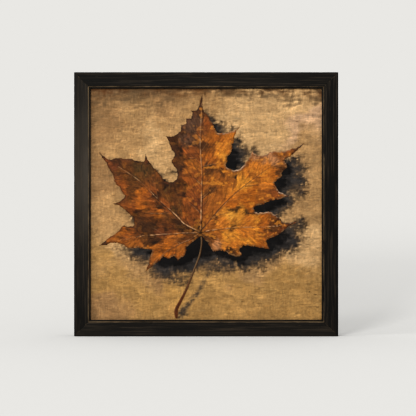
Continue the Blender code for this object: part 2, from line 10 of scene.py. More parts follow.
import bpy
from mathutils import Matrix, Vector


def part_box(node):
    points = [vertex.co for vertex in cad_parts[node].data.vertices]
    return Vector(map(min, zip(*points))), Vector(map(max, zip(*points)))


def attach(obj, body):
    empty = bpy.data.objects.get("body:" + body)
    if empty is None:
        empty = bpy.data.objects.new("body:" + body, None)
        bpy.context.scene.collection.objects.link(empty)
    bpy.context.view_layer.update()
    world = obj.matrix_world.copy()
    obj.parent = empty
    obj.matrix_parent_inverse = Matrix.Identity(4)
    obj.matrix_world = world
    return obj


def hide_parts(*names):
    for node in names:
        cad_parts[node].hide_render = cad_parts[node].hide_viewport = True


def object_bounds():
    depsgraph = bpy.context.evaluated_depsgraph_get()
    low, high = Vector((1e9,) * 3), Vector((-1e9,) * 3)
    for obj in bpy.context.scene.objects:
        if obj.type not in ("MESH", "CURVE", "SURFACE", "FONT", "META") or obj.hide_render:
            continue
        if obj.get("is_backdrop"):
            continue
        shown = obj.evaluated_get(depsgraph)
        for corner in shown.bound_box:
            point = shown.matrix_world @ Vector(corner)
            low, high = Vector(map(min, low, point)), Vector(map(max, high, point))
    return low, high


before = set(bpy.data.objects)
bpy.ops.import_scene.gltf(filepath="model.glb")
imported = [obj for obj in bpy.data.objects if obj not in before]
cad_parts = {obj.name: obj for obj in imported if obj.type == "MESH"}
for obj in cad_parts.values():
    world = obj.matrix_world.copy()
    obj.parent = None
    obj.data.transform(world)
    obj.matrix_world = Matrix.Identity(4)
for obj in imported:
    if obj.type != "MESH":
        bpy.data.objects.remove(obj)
cad_low, cad_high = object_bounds()
print("whole object, mm:", [round(1000 * (b - a), 1) for a, b in zip(cad_low, cad_high)])

# %% [markdown]
# ## Measures
#
# Every place comes from the model. The picture's face looks along -Y, so a spot on it is an (x, z) pair.
# We give spots on the leaf in millimetres from its heart, where the veins meet, because that is how a
# painter would point them out on the canvas.

# %% Places that everything else is measured from
import math

import bmesh
import bpy
import numpy as np
from mathutils import Vector, geometry, kdtree

MM = 0.001
rng = np.random.default_rng(12)
ground_low, ground_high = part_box("paint_ground")
leaf_low, leaf_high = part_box("painted_leaf")
picture_middle = np.array([(ground_low.x + ground_high.x) / 2, (ground_low.z + ground_high.z) / 2])
heart = picture_middle + np.array([-7.1, -35.4]) * MM
ground_front = ground_low.y
ground_back = ground_high.y
print("the leaf's heart is at x, z =", np.round(heart * 1000, 1), "mm")


def from_heart(spots):
    """Spots in millimetres from the leaf's heart, as metres in the model."""
    return heart + np.asarray(spots, float) * MM


def from_middle(spots):
    """Spots in millimetres from the picture's middle, as metres in the model."""
    return picture_middle + np.asarray(spots, float) * MM


# %% [markdown]
# ## Helpers for meshes
#
# Each piece is made the same way: points and faces go into a new mesh, the mesh rides with the model's
# one body, and it may stand for a plain construction piece, which is then hidden. Numbers that a material
# needs at each point, such as a paint's colour or how worn an edge is, are stored on the mesh as
# attributes.

# %% Make a piece, and store values on its points
def make_piece(name, points, faces, stands_for=(), crease=math.radians(40)):
    """A smooth piece that stays crisp at edges sharper than the crease."""
    mesh = bpy.data.meshes.new(name)
    mesh.from_pydata(np.asarray(points).tolist(), [], faces)
    bm = bmesh.new()
    bm.from_mesh(mesh)
    bmesh.ops.recalc_face_normals(bm, faces=bm.faces)
    for face in bm.faces:
        face.smooth = True
    for edge in bm.edges:
        edge.smooth = edge.calc_face_angle(0) < crease
    bm.to_mesh(mesh)
    bm.free()
    made = bpy.data.objects.new(name, mesh)
    bpy.context.scene.collection.objects.link(made)
    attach(made, "root")
    if stands_for:
        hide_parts(*stands_for)
    print(f"{name}: {len(points)} points, {len(faces)} faces")
    return made


def store(made, name, values):
    """Stores one number, a direction or a colour for each point of a piece."""
    values = np.asarray(values, np.float32)
    if values.ndim == 1:
        kind, field = "FLOAT", "value"
    elif values.shape[1] == 3:
        kind, field = "FLOAT_VECTOR", "vector"
    else:
        kind, field = "FLOAT_COLOR", "color"
    layer = made.data.attributes.new(name, kind, "POINT")
    layer.data.foreach_set(field, values.ravel())


# %% [markdown]
# ## Helpers for materials
#
# A material is a small graph of nodes. These helpers keep each graph short to read: `add` makes a node
# and wires its inputs, and the others wrap the few nodes that almost every finish here uses. Colours are
# given as an artist reads them off a screen, 0 to 255, and are turned into the linear values that shaders
# use.

# %% Colours
def linear(colour):
    """A screen colour, 0 to 255, as linear light."""
    share = np.asarray(colour, float) / 255
    return np.where(share <= 0.04045, share / 12.92, ((share + 0.055) / 1.055) ** 2.4)


def rgba(colour):
    """A screen colour as linear light, with the alpha that sockets expect."""
    return (*linear(colour), 1.0)


# %% Nodes
def add(tree, kind, inputs, **settings):
    """Adds a node. Inputs are values, or the outputs of other nodes, which are linked."""
    made = tree.nodes.new("ShaderNode" + kind)
    for key, value in settings.items():
        setattr(made, key, value)
    for key, value in inputs.items():
        if isinstance(value, bpy.types.NodeSocket):
            tree.links.new(value, made.inputs[key])
        else:
            made.inputs[key].default_value = value
    return made


def start_material(name, **sockets):
    """A new material, its node tree and its shader, with the shader's own sockets set."""
    made = bpy.data.materials.new(name)
    made.use_nodes = True
    shader = made.node_tree.nodes["Principled BSDF"]
    for key, value in sockets.items():
        shader.inputs[key.replace("_", " ")].default_value = value
    return made, made.node_tree, shader


def stored(tree, name, output="Fac"):
    """Reads what was stored on the mesh: Fac for a number, Vector or Color for the others."""
    return add(tree, "Attribute", {}, attribute_name=name).outputs[output]


# %% The few nodes that almost every finish uses
def places(tree, scale=(1, 1, 1)):
    """Places on the object in metres, stretched by scale."""
    spot = add(tree, "TexCoord", {}).outputs["Object"]
    return add(tree, "Mapping", {"Vector": spot, "Scale": scale}).outputs["Vector"]


def speckle(tree, vector, scale, detail=3.0, roughness=0.5):
    """Cloudy noise from 0 to 1. The scale is how many blotches there are to a metre."""
    inputs = {"Vector": vector, "Scale": scale, "Detail": detail, "Roughness": roughness}
    return add(tree, "TexNoise", inputs).outputs["Fac"]


def between(tree, value, low, high, to_low=0.0, to_high=1.0):
    """Stretches the part of a value from low to high over a new range."""
    inputs = {"Value": value, "From Min": low, "From Max": high, "To Min": to_low, "To Max": to_high}
    return add(tree, "MapRange", inputs).outputs["Result"]


def calc(tree, operation, *values):
    """One step of arithmetic."""
    return add(tree, "Math", dict(enumerate(values)), operation=operation).outputs["Value"]


def blend(tree, share, first, second, how="MIX"):
    """Mixes two colours, or tints the first with the second."""
    inputs = {0: share, 6: first, 7: second}
    return add(tree, "Mix", inputs, data_type="RGBA", blend_type=how).outputs[2]


# %% Threads and relief
# At a scale of 1, a wave texture repeats after this many metres.
WAVE_LENGTH = math.pi / 10


def threads_across(tree, vector, scale, axis, distortion):
    """Smooth stripes from 0 to 1 across an axis, a little wavy, for one of a cloth's two sets of threads."""
    inputs = {"Vector": vector, "Scale": scale, "Distortion": distortion, "Detail": 1.0}
    return add(tree, "TexWave", inputs, bands_direction=axis).outputs["Fac"]


def relief(tree, shader, height, depth, under=None):
    """Bumps the surface by a height from 0 to 1 times a depth in metres, on top of an earlier bump."""
    inputs = {"Height": height, "Distance": depth}
    if under:
        inputs["Normal"] = under
    bumped = add(tree, "Bump", inputs).outputs["Normal"]
    tree.links.new(bumped, shader.inputs["Normal"])
    return bumped


# %% [markdown]
# ## The paint box
#
# An autumn leaf in oils needs few paints: umbers for the shaded half, rust and orange, gold where light
# falls, and a little violet and olive to cool the browns. The ground is ochre and straw, and the shadows
# are slate.

# %% Name the paints
PAINTS = {
    name: linear(colour)
    for name, colour in {
        "black": (13, 11, 11),
        "slate": (53, 48, 45),
        "dark umber": (36, 19, 8),
        "umber": (62, 34, 12),
        "brown": (92, 51, 17),
        "olive": (78, 52, 20),
        "violet": (84, 56, 38),
        "mauve": (170, 112, 68),
        "red brown": (102, 50, 20),
        "rust": (134, 68, 22),
        "sienna": (150, 82, 24),
        "burnt orange": (167, 88, 20),
        "orange": (189, 107, 30),
        "amber": (204, 128, 38),
        "gold": (214, 146, 52),
        "pale vein": (186, 142, 100),
        "lip": (228, 194, 162),
        "earth": (108, 82, 54),
        "dull tan": (161, 120, 76),
        "tan": (181, 138, 88),
        "ochre": (189, 141, 76),
        "dull ochre": (173, 130, 73),
        "straw": (206, 163, 110),
        "pale ground": (218, 172, 130),
    }.items()
}
print(len(PAINTS), "paints")

# %% [markdown]
# ## Wet paint as an array
#
# Before it is a mesh, the painting is a square of cells half a millimetre wide. Each cell holds a colour
# and how thick the paint stands. A brush stroke is a small window of that square in which colour is
# blended in and the hairs of the brush leave ridges. Thousands of strokes later, a mesh reads both from
# the array, so the marks that you see are also marks that you could feel.

# %% How big a cell is, and a curve for all that fades
CELL = 0.5 * MM


def hill(offset, width):
    """1 where the offset is nothing, and falling off smoothly over this width on both sides."""
    return np.exp(-((offset / width) ** 2))


# %% The film
class Film:
    """Colour and thickness of paint in cells, between two (x, z) corners."""

    def __init__(self, low, high):
        self.x = np.arange(low[0], high[0] + CELL, CELL)
        self.z = np.arange(low[1], high[1] + CELL, CELL)
        self.colour = np.zeros((len(self.z), len(self.x), 3))
        self.body = np.zeros((len(self.z), len(self.x)))

    def clouds(self, wide, high, octaves=3):
        """Smooth random values from 0 to 1, in patches about this wide and high, with finer ones inside."""
        total, weight = np.zeros(self.body.shape), 0.0
        for octave in range(octaves):
            share = 0.5**octave
            total += share * self.patches(wide * share, high * share)
            weight += share
        total /= weight
        return np.clip((total - total.mean()) / (5 * total.std()) + 0.5, 0, 1)

    def patches(self, wide, high):
        """Random values at the knots of a coarse grid, blended smoothly between them."""
        u = np.maximum((self.x - self.x[0]) / max(wide, 2 * CELL), 0)
        v = np.maximum((self.z - self.z[0]) / max(high, 2 * CELL), 0)
        knots = rng.random((int(v[-1]) + 2, int(u[-1]) + 2))
        i, j = v.astype(int)[:, None], u.astype(int)[None, :]
        fv, fu = (v - v.astype(int))[:, None], (u - u.astype(int))[None, :]
        fv, fu = fv * fv * (3 - 2 * fv), fu * fu * (3 - 2 * fu)
        low = knots[i, j] * (1 - fu) + knots[i, j + 1] * fu
        high_side = knots[i + 1, j] * (1 - fu) + knots[i + 1, j + 1] * fu
        return low * (1 - fv) + high_side * fv

    def read(self, field, x, z):
        """A field's value at any places, between the cells."""
        u = np.clip((x - self.x[0]) / CELL, 0, len(self.x) - 1.001)
        v = np.clip((z - self.z[0]) / CELL, 0, len(self.z) - 1.001)
        i, j = v.astype(int), u.astype(int)
        fv, fu = v - i, u - j
        if field.ndim == 3:
            fv, fu = fv[:, None], fu[:, None]
        low = field[i, j] * (1 - fu) + field[i, j + 1] * fu
        high = field[i + 1, j] * (1 - fu) + field[i + 1, j + 1] * fu
        return low * (1 - fv) + high * fv


# %% Threads, and a soft blur
def crossed(film, long, fine):
    """Random threads, half of them level and half upright, from 0 to 1."""
    return 0.5 * film.clouds(long, fine, 2) + 0.5 * film.clouds(fine, long, 2)


def blurred(field, reach):
    """A field averaged over about this reach, three times, which is close to a soft round blur."""
    size = max(1, round(reach / CELL))
    for _ in range(3):
        for axis in (0, 1):
            padding = [(0, 0), (0, 0)]
            padding[axis] = (size + 1, size)
            sums = np.cumsum(np.pad(field, padding, mode="edge"), axis=axis)
            width = 2 * size + 1
            length = field.shape[axis]
            late = np.take(sums, np.arange(width, width + length), axis)
            early = np.take(sums, np.arange(length), axis)
            field = (late - early) / width
    return field


# %% One brush stroke
def lay_stroke(film, x, z, angle, length, width, paint, load, ridge, bend=0.0):
    """Drags a loaded brush over the film. Load is how well it covers, ridge how thick its paint stands."""
    reach = (length + width) / 2 + CELL
    cols = slice(*np.searchsorted(film.x, (x - reach, x + reach)))
    rows = slice(*np.searchsorted(film.z, (z - reach, z + reach)))
    dx, dz = film.x[None, cols] - x, film.z[rows, None] - z
    if not dx.size or not dz.size:
        return
    cos, sin = math.cos(angle), math.sin(angle)
    along = dx * cos + dz * sin
    across = dz * cos - dx * sin - bend * along * along
    hairs = rng.random(max(3, int(width / CELL) + 1))
    hair = hairs[np.clip((across / width + 0.5) * len(hairs), 0, len(hairs) - 1).astype(int)]
    cover = np.clip(2.4 - 4.8 * np.abs(across) / width, 0, 1)
    cover = cover * np.clip(3.0 - 6.0 * np.abs(along) / length, 0, 1) * load * (0.45 + 0.55 * hair)
    film.colour[rows, cols] += (paint - film.colour[rows, cols]) * cover[..., None]
    film.body[rows, cols] += (ridge * (0.3 + 0.7 * hair) - film.body[rows, cols]) * cover


def brush_over(film, block, coats, lean, low, high):
    """Covers the film with coats of strokes. Each takes its colour from the block and strays a little."""
    for count, length, width, load, ridge, stray in coats:
        x, z = rng.uniform(low[0], high[0], count), rng.uniform(low[1], high[1], count)
        angles = lean(x, z) + rng.normal(0, 0.22, count)
        paints = film.read(block, x, z)
        light = np.exp(np.minimum(rng.normal(-0.2 * stray, stray, count), 1.1 * stray))
        warmth = rng.normal(0, stray * 0.22, count)
        tints = np.stack([light * (1 + warmth), light, light * (1 - 1.4 * warmth)], axis=1)
        sizes = rng.uniform(0.6, 1.4, (count, 2))
        for i in range(count):
            lay_stroke(film, x[i], z[i], angles[i], length * sizes[i, 0], width * sizes[i, 1],
                       paints[i] * tints[i], load, ridge * sizes[i, 1], rng.uniform(-14, 14))
    print(sum(coat[0] for coat in coats), "strokes")


def crisp(film, reach, gain):
    """Deepens each mark against its surroundings, as pigment does when it settles in the hollows."""
    light = film.colour.mean(axis=2) + 0.003
    film.colour *= ((light / blurred(light, reach)) ** gain)[..., None]


# %% [markdown]
# ## Reading the leaf's outline
#
# The construction model holds the leaf as a thin flat plate with the right teeth and lobes, so its
# outline is read from there. We take the edges of its front face and walk round them. Then each edge is
# bowed a little into its neighbours with a cubic curve, except at the sharp teeth, so that close up the
# margin isn't made of straight bits.

# %% Walk round a plate's front face
def front_outline(node):
    """The (x, z) outline of a flat plate's front face, walked round once."""
    bm = bmesh.new()
    bm.from_mesh(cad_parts[node].data)
    bmesh.ops.remove_doubles(bm, verts=bm.verts, dist=1e-6)
    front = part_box(node)[0].y + 1e-5
    rim = [
        edge for edge in bm.edges
        if all(v.co.y < front for v in edge.verts)
        and sum(all(v.co.y < front for v in face.verts) for face in edge.link_faces) == 1
    ]
    after = {}
    for edge in rim:
        for one, other in (edge.verts, reversed(edge.verts)):
            after.setdefault(one.index, []).append(other.index)
    first = rim[0].verts[0].index
    walk, here, before = [], first, None
    while not walk or here != first:
        walk.append(here)
        here, before = next(step for step in after[here] if step != before), here
    bm.verts.ensure_lookup_table()
    outline = np.array([(bm.verts[i].co.x, bm.verts[i].co.z) for i in walk])
    bm.free()
    x, z = outline.T
    area = 0.5 * np.sum(x * np.roll(z, -1) - z * np.roll(x, -1))
    return outline if area > 0 else outline[::-1]


# %% Bow its edges
def soften(outline, step, sharp=math.radians(48)):
    """Redraws an outline with a point every step, curved through its points but straight into sharp ones."""
    before, after = np.roll(outline, 1, 0), np.roll(outline, -1, 0)
    turn_in, turn_out = outline - before, after - outline
    cross = turn_in[:, 0] * turn_out[:, 1] - turn_in[:, 1] * turn_out[:, 0]
    turn = np.abs(np.arctan2(cross, (turn_in * turn_out).sum(1)))
    ease = (after - before) / 2
    is_sharp = (turn > sharp)[:, None]
    leaving, arriving = np.where(is_sharp, turn_out, ease), np.where(is_sharp, turn_in, ease)
    drawn = []
    for i, start in enumerate(outline):
        end = after[i]
        count = max(1, round(np.linalg.norm(end - start) / step))
        t = (np.arange(count) / count)[:, None]
        out, into = leaving[i], arriving[(i + 1) % len(outline)]
        drawn.append(
            (2 * t**3 - 3 * t**2 + 1) * start + (t**3 - 2 * t**2 + t) * out
            + (3 * t**2 - 2 * t**3) * end + (t**3 - t**2) * into
        )
    return np.concatenate(drawn)


# %% Wear it, and find its tips
def frayed(outline, corners):
    """Wears an outline with small nicks, but leaves it whole near its sharp corners."""
    normal = np.roll(outline, -1, 0) - np.roll(outline, 1, 0)
    normal = np.stack([normal[:, 1], -normal[:, 0]], 1) / np.linalg.norm(normal, axis=1)[:, None]
    run = np.cumsum(np.linalg.norm(outline - np.roll(outline, 1, 0), axis=1))
    knots = rng.normal(0, 1, (2, 4000))
    coarse = np.interp(run / (2.6 * MM), np.arange(4000), knots[0])
    fine = np.interp(run / (1.1 * MM), np.arange(4000), knots[1])
    to_corner = np.min(np.linalg.norm(outline[:, None] - corners[None], axis=2), axis=1)
    amount = np.clip(to_corner / (4 * MM) - 0.25, 0, 1) * (0.40 * coarse + 0.22 * fine) * MM
    return outline + normal * amount[:, None]


def sharp_corners(outline, least):
    """The corners of an outline that turn by more than an angle, with the way that each one points."""
    into = outline - np.roll(outline, 1, 0)
    out = np.roll(outline, -1, 0) - outline
    into /= np.linalg.norm(into, axis=1)[:, None]
    out /= np.linalg.norm(out, axis=1)[:, None]
    turn = np.arctan2(into[:, 0] * out[:, 1] - into[:, 1] * out[:, 0], (into * out).sum(1))
    pointing = into - out
    pointing /= np.linalg.norm(pointing, axis=1)[:, None] + 1e-9
    return outline[turn > least], pointing[turn > least]


# %% Read the leaf and the stem
leaf_plate = front_outline("painted_leaf")
leaf_tips, tip_ways = sharp_corners(leaf_plate, math.radians(75))
leaf_edge = frayed(soften(leaf_plate, 0.6 * MM), leaf_tips)
stem_edge = soften(front_outline("painted_stem"), 0.7 * MM)
print("leaf outline:", len(leaf_plate), "points, redrawn with", len(leaf_edge))


# %% [markdown]
# ## Questions about shapes
#
# Two questions come up all the time when painting: is this spot inside the leaf, and how far is it from a
# line? The first is answered by counting how often a level line from the spot crosses the outline. The
# second uses the nearest point of each straight piece of the line, and also gives how far along the line
# that is, and on which side, so that a vein can taper and a stroke can lean away from it.

# %% Inside an outline
def inside(outline, x, z):
    """Whether each cell of a grid, with these columns and rows, lies inside the outline."""
    counted = np.zeros((len(z), len(x)), bool)
    for (x0, z0), (x1, z1) in zip(outline, np.roll(outline, -1, 0)):
        low, high = np.searchsorted(z, (min(z0, z1), max(z0, z1)))
        for row in range(low, high):
            crossing = x0 + (x1 - x0) * (z[row] - z0) / (z1 - z0)
            counted[row, : np.searchsorted(x, crossing)] ^= True
    return counted


# %% Near a line
def near_line(x, z, line):
    """Distance to a line, share of its length at the nearest place, side (+1 is left of it) and its angle."""
    line = np.asarray(line)
    steps = np.linalg.norm(np.diff(line, axis=0), axis=1)
    starts = np.concatenate([[0], np.cumsum(steps)])
    best = np.full(np.shape(x), np.inf)
    share, side, angle = np.zeros_like(best), np.ones_like(best), np.zeros_like(best)
    for i, size in enumerate(steps):
        (ax, az), (bx, bz) = line[i], line[i + 1]
        tx, tz = (bx - ax) / size, (bz - az) / size
        along = np.clip((x - ax) * tx + (z - az) * tz, 0, size)
        off_x, off_z = x - ax - along * tx, z - az - along * tz
        distance = np.hypot(off_x, off_z)
        closer = distance < best
        best = np.where(closer, distance, best)
        share = np.where(closer, (starts[i] + along) / starts[-1], share)
        side = np.where(closer, np.where(tx * off_z - tz * off_x >= 0, 1.0, -1.0), side)
        angle = np.where(closer, math.atan2(tz, tx), angle)
    return best, share, side, angle


def smooth_line(points, steps=6):
    """A Catmull-Rom line through a few points."""
    points = np.asarray(points, float)
    ends = np.concatenate([[2 * points[0] - points[1]], points, [2 * points[-1] - points[-2]]])
    t = (np.arange(steps) / steps)[:, None]
    drawn = [
        0.5 * (2 * b + (c - a) * t + (2 * a - 5 * b + 4 * c - d) * t**2 + (3 * b - a - 3 * c + d) * t**3)
        for a, b, c, d in zip(ends, ends[1:], ends[2:], ends[3:])
    ]
    return np.concatenate([*drawn, points[-1:]])


# %% Washes that meet
def washed(x, z, washes, places_from):
    """The blocked-in colour at each place: nearby washes weigh most, each within its own spread."""
    total = np.zeros((*np.shape(x), 3))
    weights = np.zeros(np.shape(x))
    for spot_x, spot_z, spread, paint in washes:
        (sx, sz), = places_from([(spot_x, spot_z)])
        weight = 1 / (0.02 + ((x - sx) ** 2 + (z - sz) ** 2) / (spread * MM) ** 2) ** 2.2
        total += weight[..., None] * PAINTS[paint]
        weights += weight
    return total / weights[..., None]


# %% [markdown]
# ## The ground and its shadows
#
# The ground is painted like the leaf, in level strokes with a few upright ones, over washes of tan and
# ochre that darken towards the frame: the painting's own brown patches along the top, and painted shade
# all round where the frame's lip shades the canvas. The leaf's shadow is found by sliding a mask of the
# leaf down and to the right and blurring it. Close to the leaf the shadow turns from slate to black,
# which lifts the leaf off the ground.

# %% Block in the ground
ground_film = Film((ground_low.x, ground_low.z), (ground_high.x, ground_high.z))
wide_x, wide_z = np.meshgrid(ground_film.x, ground_film.z)
GROUND_WASHES = [
    # millimetres from the picture's middle, spread, paint
    (-132, 128, 20, "dull tan"), (-96, 128, 22, "tan"), (-126, 96, 22, "dull tan"), (-104, 78, 26, "tan"),
    (-60, 100, 26, "tan"), (-92, 52, 24, "tan"), (-72, 74, 20, "straw"), (-134, 30, 16, "dull tan"),
    (-118, -14, 20, "tan"), (-60, 126, 20, "dull tan"), (0, 122, 18, "tan"), (44, 116, 22, "straw"),
    (28, 104, 14, "straw"), (84, 108, 26, "straw"), (112, 122, 20, "straw"), (122, 96, 20, "pale ground"),
    (138, 138, 10, "earth"), (132, 62, 20, "tan"), (96, 44, 10, "tan"), (128, 4, 22, "tan"),
    (106, -18, 12, "tan"), (120, -58, 22, "straw"), (88, -74, 22, "tan"), (112, -110, 26, "dull ochre"),
    (56, -104, 26, "dull ochre"), (14, -84, 20, "dull tan"), (4, -122, 26, "dull ochre"),
    (-34, -116, 20, "ochre"), (-48, -88, 20, "dull tan"), (-86, -78, 24, "tan"), (-104, -56, 18, "straw"),
    (-118, -96, 24, "dull ochre"), (-90, -118, 24, "dull ochre"), (-136, -136, 18, "dull tan"),
    (134, -134, 14, "dull ochre"),
]
shift_x = (ground_film.clouds(40 * MM, 30 * MM) - 0.5) * 50 * MM
shift_z = (ground_film.clouds(40 * MM, 30 * MM) - 0.5) * 50 * MM
ground_block = washed(wide_x + shift_x, wide_z + shift_z, GROUND_WASHES, from_middle)
ground_block *= (0.82 + 0.36 * ground_film.clouds(22 * MM, 12 * MM, 4))[..., None]
patches = np.clip((ground_film.clouds(10 * MM, 7 * MM, 4) - 0.5) * 5, -1, 1)
ground_block *= (1 + 0.10 * patches)[..., None]
from_left = wide_x - ground_low.x
from_right = ground_high.x - wide_x
from_top = ground_high.z - wide_z
from_foot = wide_z - ground_low.z


def towards(paint, cover):
    """Turns the blocked-in ground towards a paint."""
    ground_block[:] += (PAINTS[paint] - ground_block) * np.clip(cover, 0, 1)[..., None]


ragged = ground_film.clouds(18 * MM, 7 * MM, 4)
# painted shade: darker bands along the left and right edges, where the frame's lip shades the canvas
towards("earth", np.exp(-from_left / (7 * MM)) * 0.75 * (0.5 + ragged))
towards("earth", np.exp(-from_right / (4 * MM)) * 0.45 * (0.5 + ragged))
top_left = np.clip((40 * MM + picture_middle[0] - wide_x) / (120 * MM), 0.0, 1)
# along the top: the painting's own brown patches, darkest at the left, with painted shade under the top
# rail's lip
towards("brown", hill(from_top, 13 * MM) * (ragged * 3.0 - 0.85 + 1.3 * top_left))
towards("earth", np.exp(-from_top / (24 * MM)) * top_left * 0.55)
top_right = hill(from_right - 8 * MM, 16 * MM) * hill(from_top - 14 * MM, 12 * MM)
towards("brown", top_right * (0.15 + 0.8 * ragged))
towards("earth", np.exp(-from_top / (24 * MM)) * (ground_film.clouds(30 * MM, 10 * MM, 4) * 2.4 - 0.75))
# painted shade: a darker band along the foot, under the bottom rail's lip
towards("earth", np.exp(-from_foot / (5 * MM)) * 0.45 * (0.4 + ragged))
print("the ground is blocked in over", ground_film.body.shape, "cells")

# %% Let the leaf's shadow fall
leaf_mask = inside(leaf_edge, ground_film.x, ground_film.z).astype(float)
print("the leaf hides", int(leaf_mask.sum()), "cells of ground")


def slid(mask, right, down):
    """A mask moved over the film, with nothing coming in at its edges."""
    columns, rows = round(right / CELL), round(down / CELL)
    moved = np.zeros_like(mask)
    moved[: len(mask) - rows, columns:] = mask[rows:, : mask.shape[1] - columns]
    return moved


def pool(x, z, wide, high):
    """A soft oval on the ground, in millimetres from the heart."""
    (px, pz), = from_heart([(x, z)])
    return np.exp(-(((wide_x - px) / (wide * MM)) ** 2 + ((wide_z - pz) / (high * MM)) ** 2))


# %% Gather the shadow in pools
far_shadow = blurred(slid(leaf_mask, 15 * MM, 19 * MM), 4.0 * MM)
near_shadow = blurred(slid(leaf_mask, 7 * MM, 9 * MM), 2.4 * MM)
contact = blurred(leaf_mask, 2.2 * MM)
under = pool(4, -20, 46, 20)
DARK_POOLS = [
    # millimetres from the heart, half width, half height, depth
    (43, 84, 13, 9, 1.15), (50, 98, 13, 12, 0.48), (46, 112, 10, 11, 0.28), (27, 133, 9, 7, 0.55),
    (38, 130, 8, 7, 0.46), (68, 103, 7, 6, 0.42), (102, 70, 13, 26, 0.62), (126, 62, 10, 20, 0.60),
    (84, 38, 17, 8, 0.90), (127, 9, 9, 10, 0.60), (108, -12, 17, 16, 0.64), (84, -18, 18, 8, 0.50),
    (58, -32, 32, 10, 0.72), (4, -26, 18, 15, 1.15), (-22, -38, 24, 13, 0.85), (-48, -50, 18, 9, 0.60),
    (28, -42, 30, 9, 0.50), (-26, -60, 20, 8, 0.40), (-84, -33, 12, 7, 0.42), (-22, -103, 5, 6, 0.55),
    (-118, -12, 8, 5, 0.22), (-104, -25, 11, 5, 0.30), (-99, -17, 8, 3, 0.50), (-124, 38, 8, 6, 0.20),
    (114, 6, 9, 6, 0.55), (113, 42, 9, 8, 0.35), (77, -42, 10, 6, 0.35), (10, -52, 14, 8, 0.25),
    (-36, 77, 6, 5, 0.30), (-101, -21, 9, 5, 0.30),
]
LIGHT_POOLS = [(108, 27, 12, 6, 0.32), (90, -34, 14, 8, 0.12), (2, -62, 14, 8, 0.15), (45, 110, 8, 8, 0.28),
               (138, 96, 8, 8, 0.20)]
pools = np.zeros_like(leaf_mask)
for x, z, wide, high, depth in DARK_POOLS:
    pools = np.maximum(pools, depth * pool(x, z, wide, high))
shadow = 0.62 * far_shadow + 0.62 * near_shadow + 0.30 * contact * near_shadow + 0.35 * under * far_shadow
shadow = 0.72 * np.maximum(shadow, pools) + 0.28 * (shadow + pools)
for x, z, wide, high, depth in LIGHT_POOLS:
    shadow -= depth * pool(x, z, wide, high)
shadow *= np.clip(0.35 + (wide_x - heart[0] + 95 * MM) / (70 * MM), 0.35, 1)
shadow *= 0.74 + 0.48 * ground_film.clouds(16 * MM, 5 * MM, 5)
threads = crossed(ground_film, 7 * MM, 0.9 * MM)
grit = 0.5 * threads + 0.5 * ground_film.clouds(3 * MM, 2.4 * MM, 3)
shadow += (grit - 0.5) * 0.85 * hill(shadow - 0.42, 0.34)
shadow = np.clip(shadow, 0, 1.15)


def shaded(ground, amount):
    """Ground colour under a shadow that deepens from brown through slate to black."""
    brown = ground + (PAINTS["earth"] * 0.8 - ground) * np.clip(amount / 0.35, 0, 1)[..., None]
    slate = brown + (PAINTS["slate"] - brown) * np.clip((amount - 0.22) / 0.38, 0, 1)[..., None]
    return slate + (PAINTS["black"] - slate) * np.clip((amount - 0.66) / 0.42, 0, 1)[..., None]


ground_block = shaded(ground_block, shadow)
ground_film.colour[:] = ground_block
print("deepest shadow", round(float(shadow.max()), 2))

# %% Three coats of ground strokes
GROUND_COATS = [
    # strokes, length, width, load, ridge, how far the colour strays
    (1500, 24 * MM, 5.0 * MM, 0.40, 0.05 * MM, 0.09),
    (4500, 12 * MM, 2.4 * MM, 0.42, 0.09 * MM, 0.15),
    (9000, 7 * MM, 1.4 * MM, 0.45, 0.13 * MM, 0.24),
]


def mostly_level(x, z):
    """Level strokes, with an upright one now and then."""
    return np.where(rng.random(len(x)) < 0.30, math.pi / 2, 0.0)


brush_over(ground_film, ground_block, GROUND_COATS, mostly_level,
           (ground_low.x, ground_low.z), (ground_high.x, ground_high.z))

# %% [markdown]
# ## Scuffs, cracks and the stem's shadow
#
# The ground is old and dry. Short level scratches, darker than the ground and crowded on the right, a few
# light ones beside them, and spots of missing paint make it so. The stem throws a broken grey shadow of
# its own.

# %% The stem's shadow
STEM_SHADOW = [(12, -42), (8, -54), (2, -66), (-5, -79), (-14, -89), (-22, -98), (-27, -106)]
distance, share, _, _ = near_line(wide_x, wide_z, from_heart(smooth_line(STEM_SHADOW)))
broken = ground_film.clouds(5 * MM, 3 * MM, 3)
streak = np.clip(1.25 - distance / ((3.4 + 1.2 * share) * MM), 0, 1) * np.clip(broken * 1.8 - 0.10, 0, 1)
streak *= np.clip(0.40 + 0.75 * share, 0, 1) * np.clip(0.10 + 1.5 * grit, 0, 1)
ground_film.colour += (PAINTS["slate"] * 1.3 - ground_film.colour) * np.clip(streak, 0, 0.78)[..., None]
print("the stem's shadow covers", int((streak > 0.1).sum()), "cells")


# %% Scratches
def scratch(x, z, length, width, paint, load, tilt=0.0):
    """A thin stroke that is pressed in instead of standing up."""
    lay_stroke(ground_film, x, z, tilt, length, width, paint, load, -0.05 * MM, rng.uniform(-2, 2))


SCRATCHES = 560
for _ in range(SCRATCHES):
    towards_right = rng.beta(1.5, 1.0)
    x = ground_low.x + towards_right * (ground_high.x - ground_low.x)
    z = rng.uniform(ground_low.z, ground_high.z)
    shade_of = ground_film.read(ground_block, np.array([x]), np.array([z]))[0]
    dark = rng.random() < 0.68
    paint = shade_of * (0.42 if dark else 1.35)
    scratch(x, z, rng.gamma(2.0, 3.2 * MM), rng.uniform(0.7, 1.1) * MM, paint, rng.uniform(0.3, 0.75),
            rng.normal(0, 0.05))
print(SCRATCHES, "scratches")

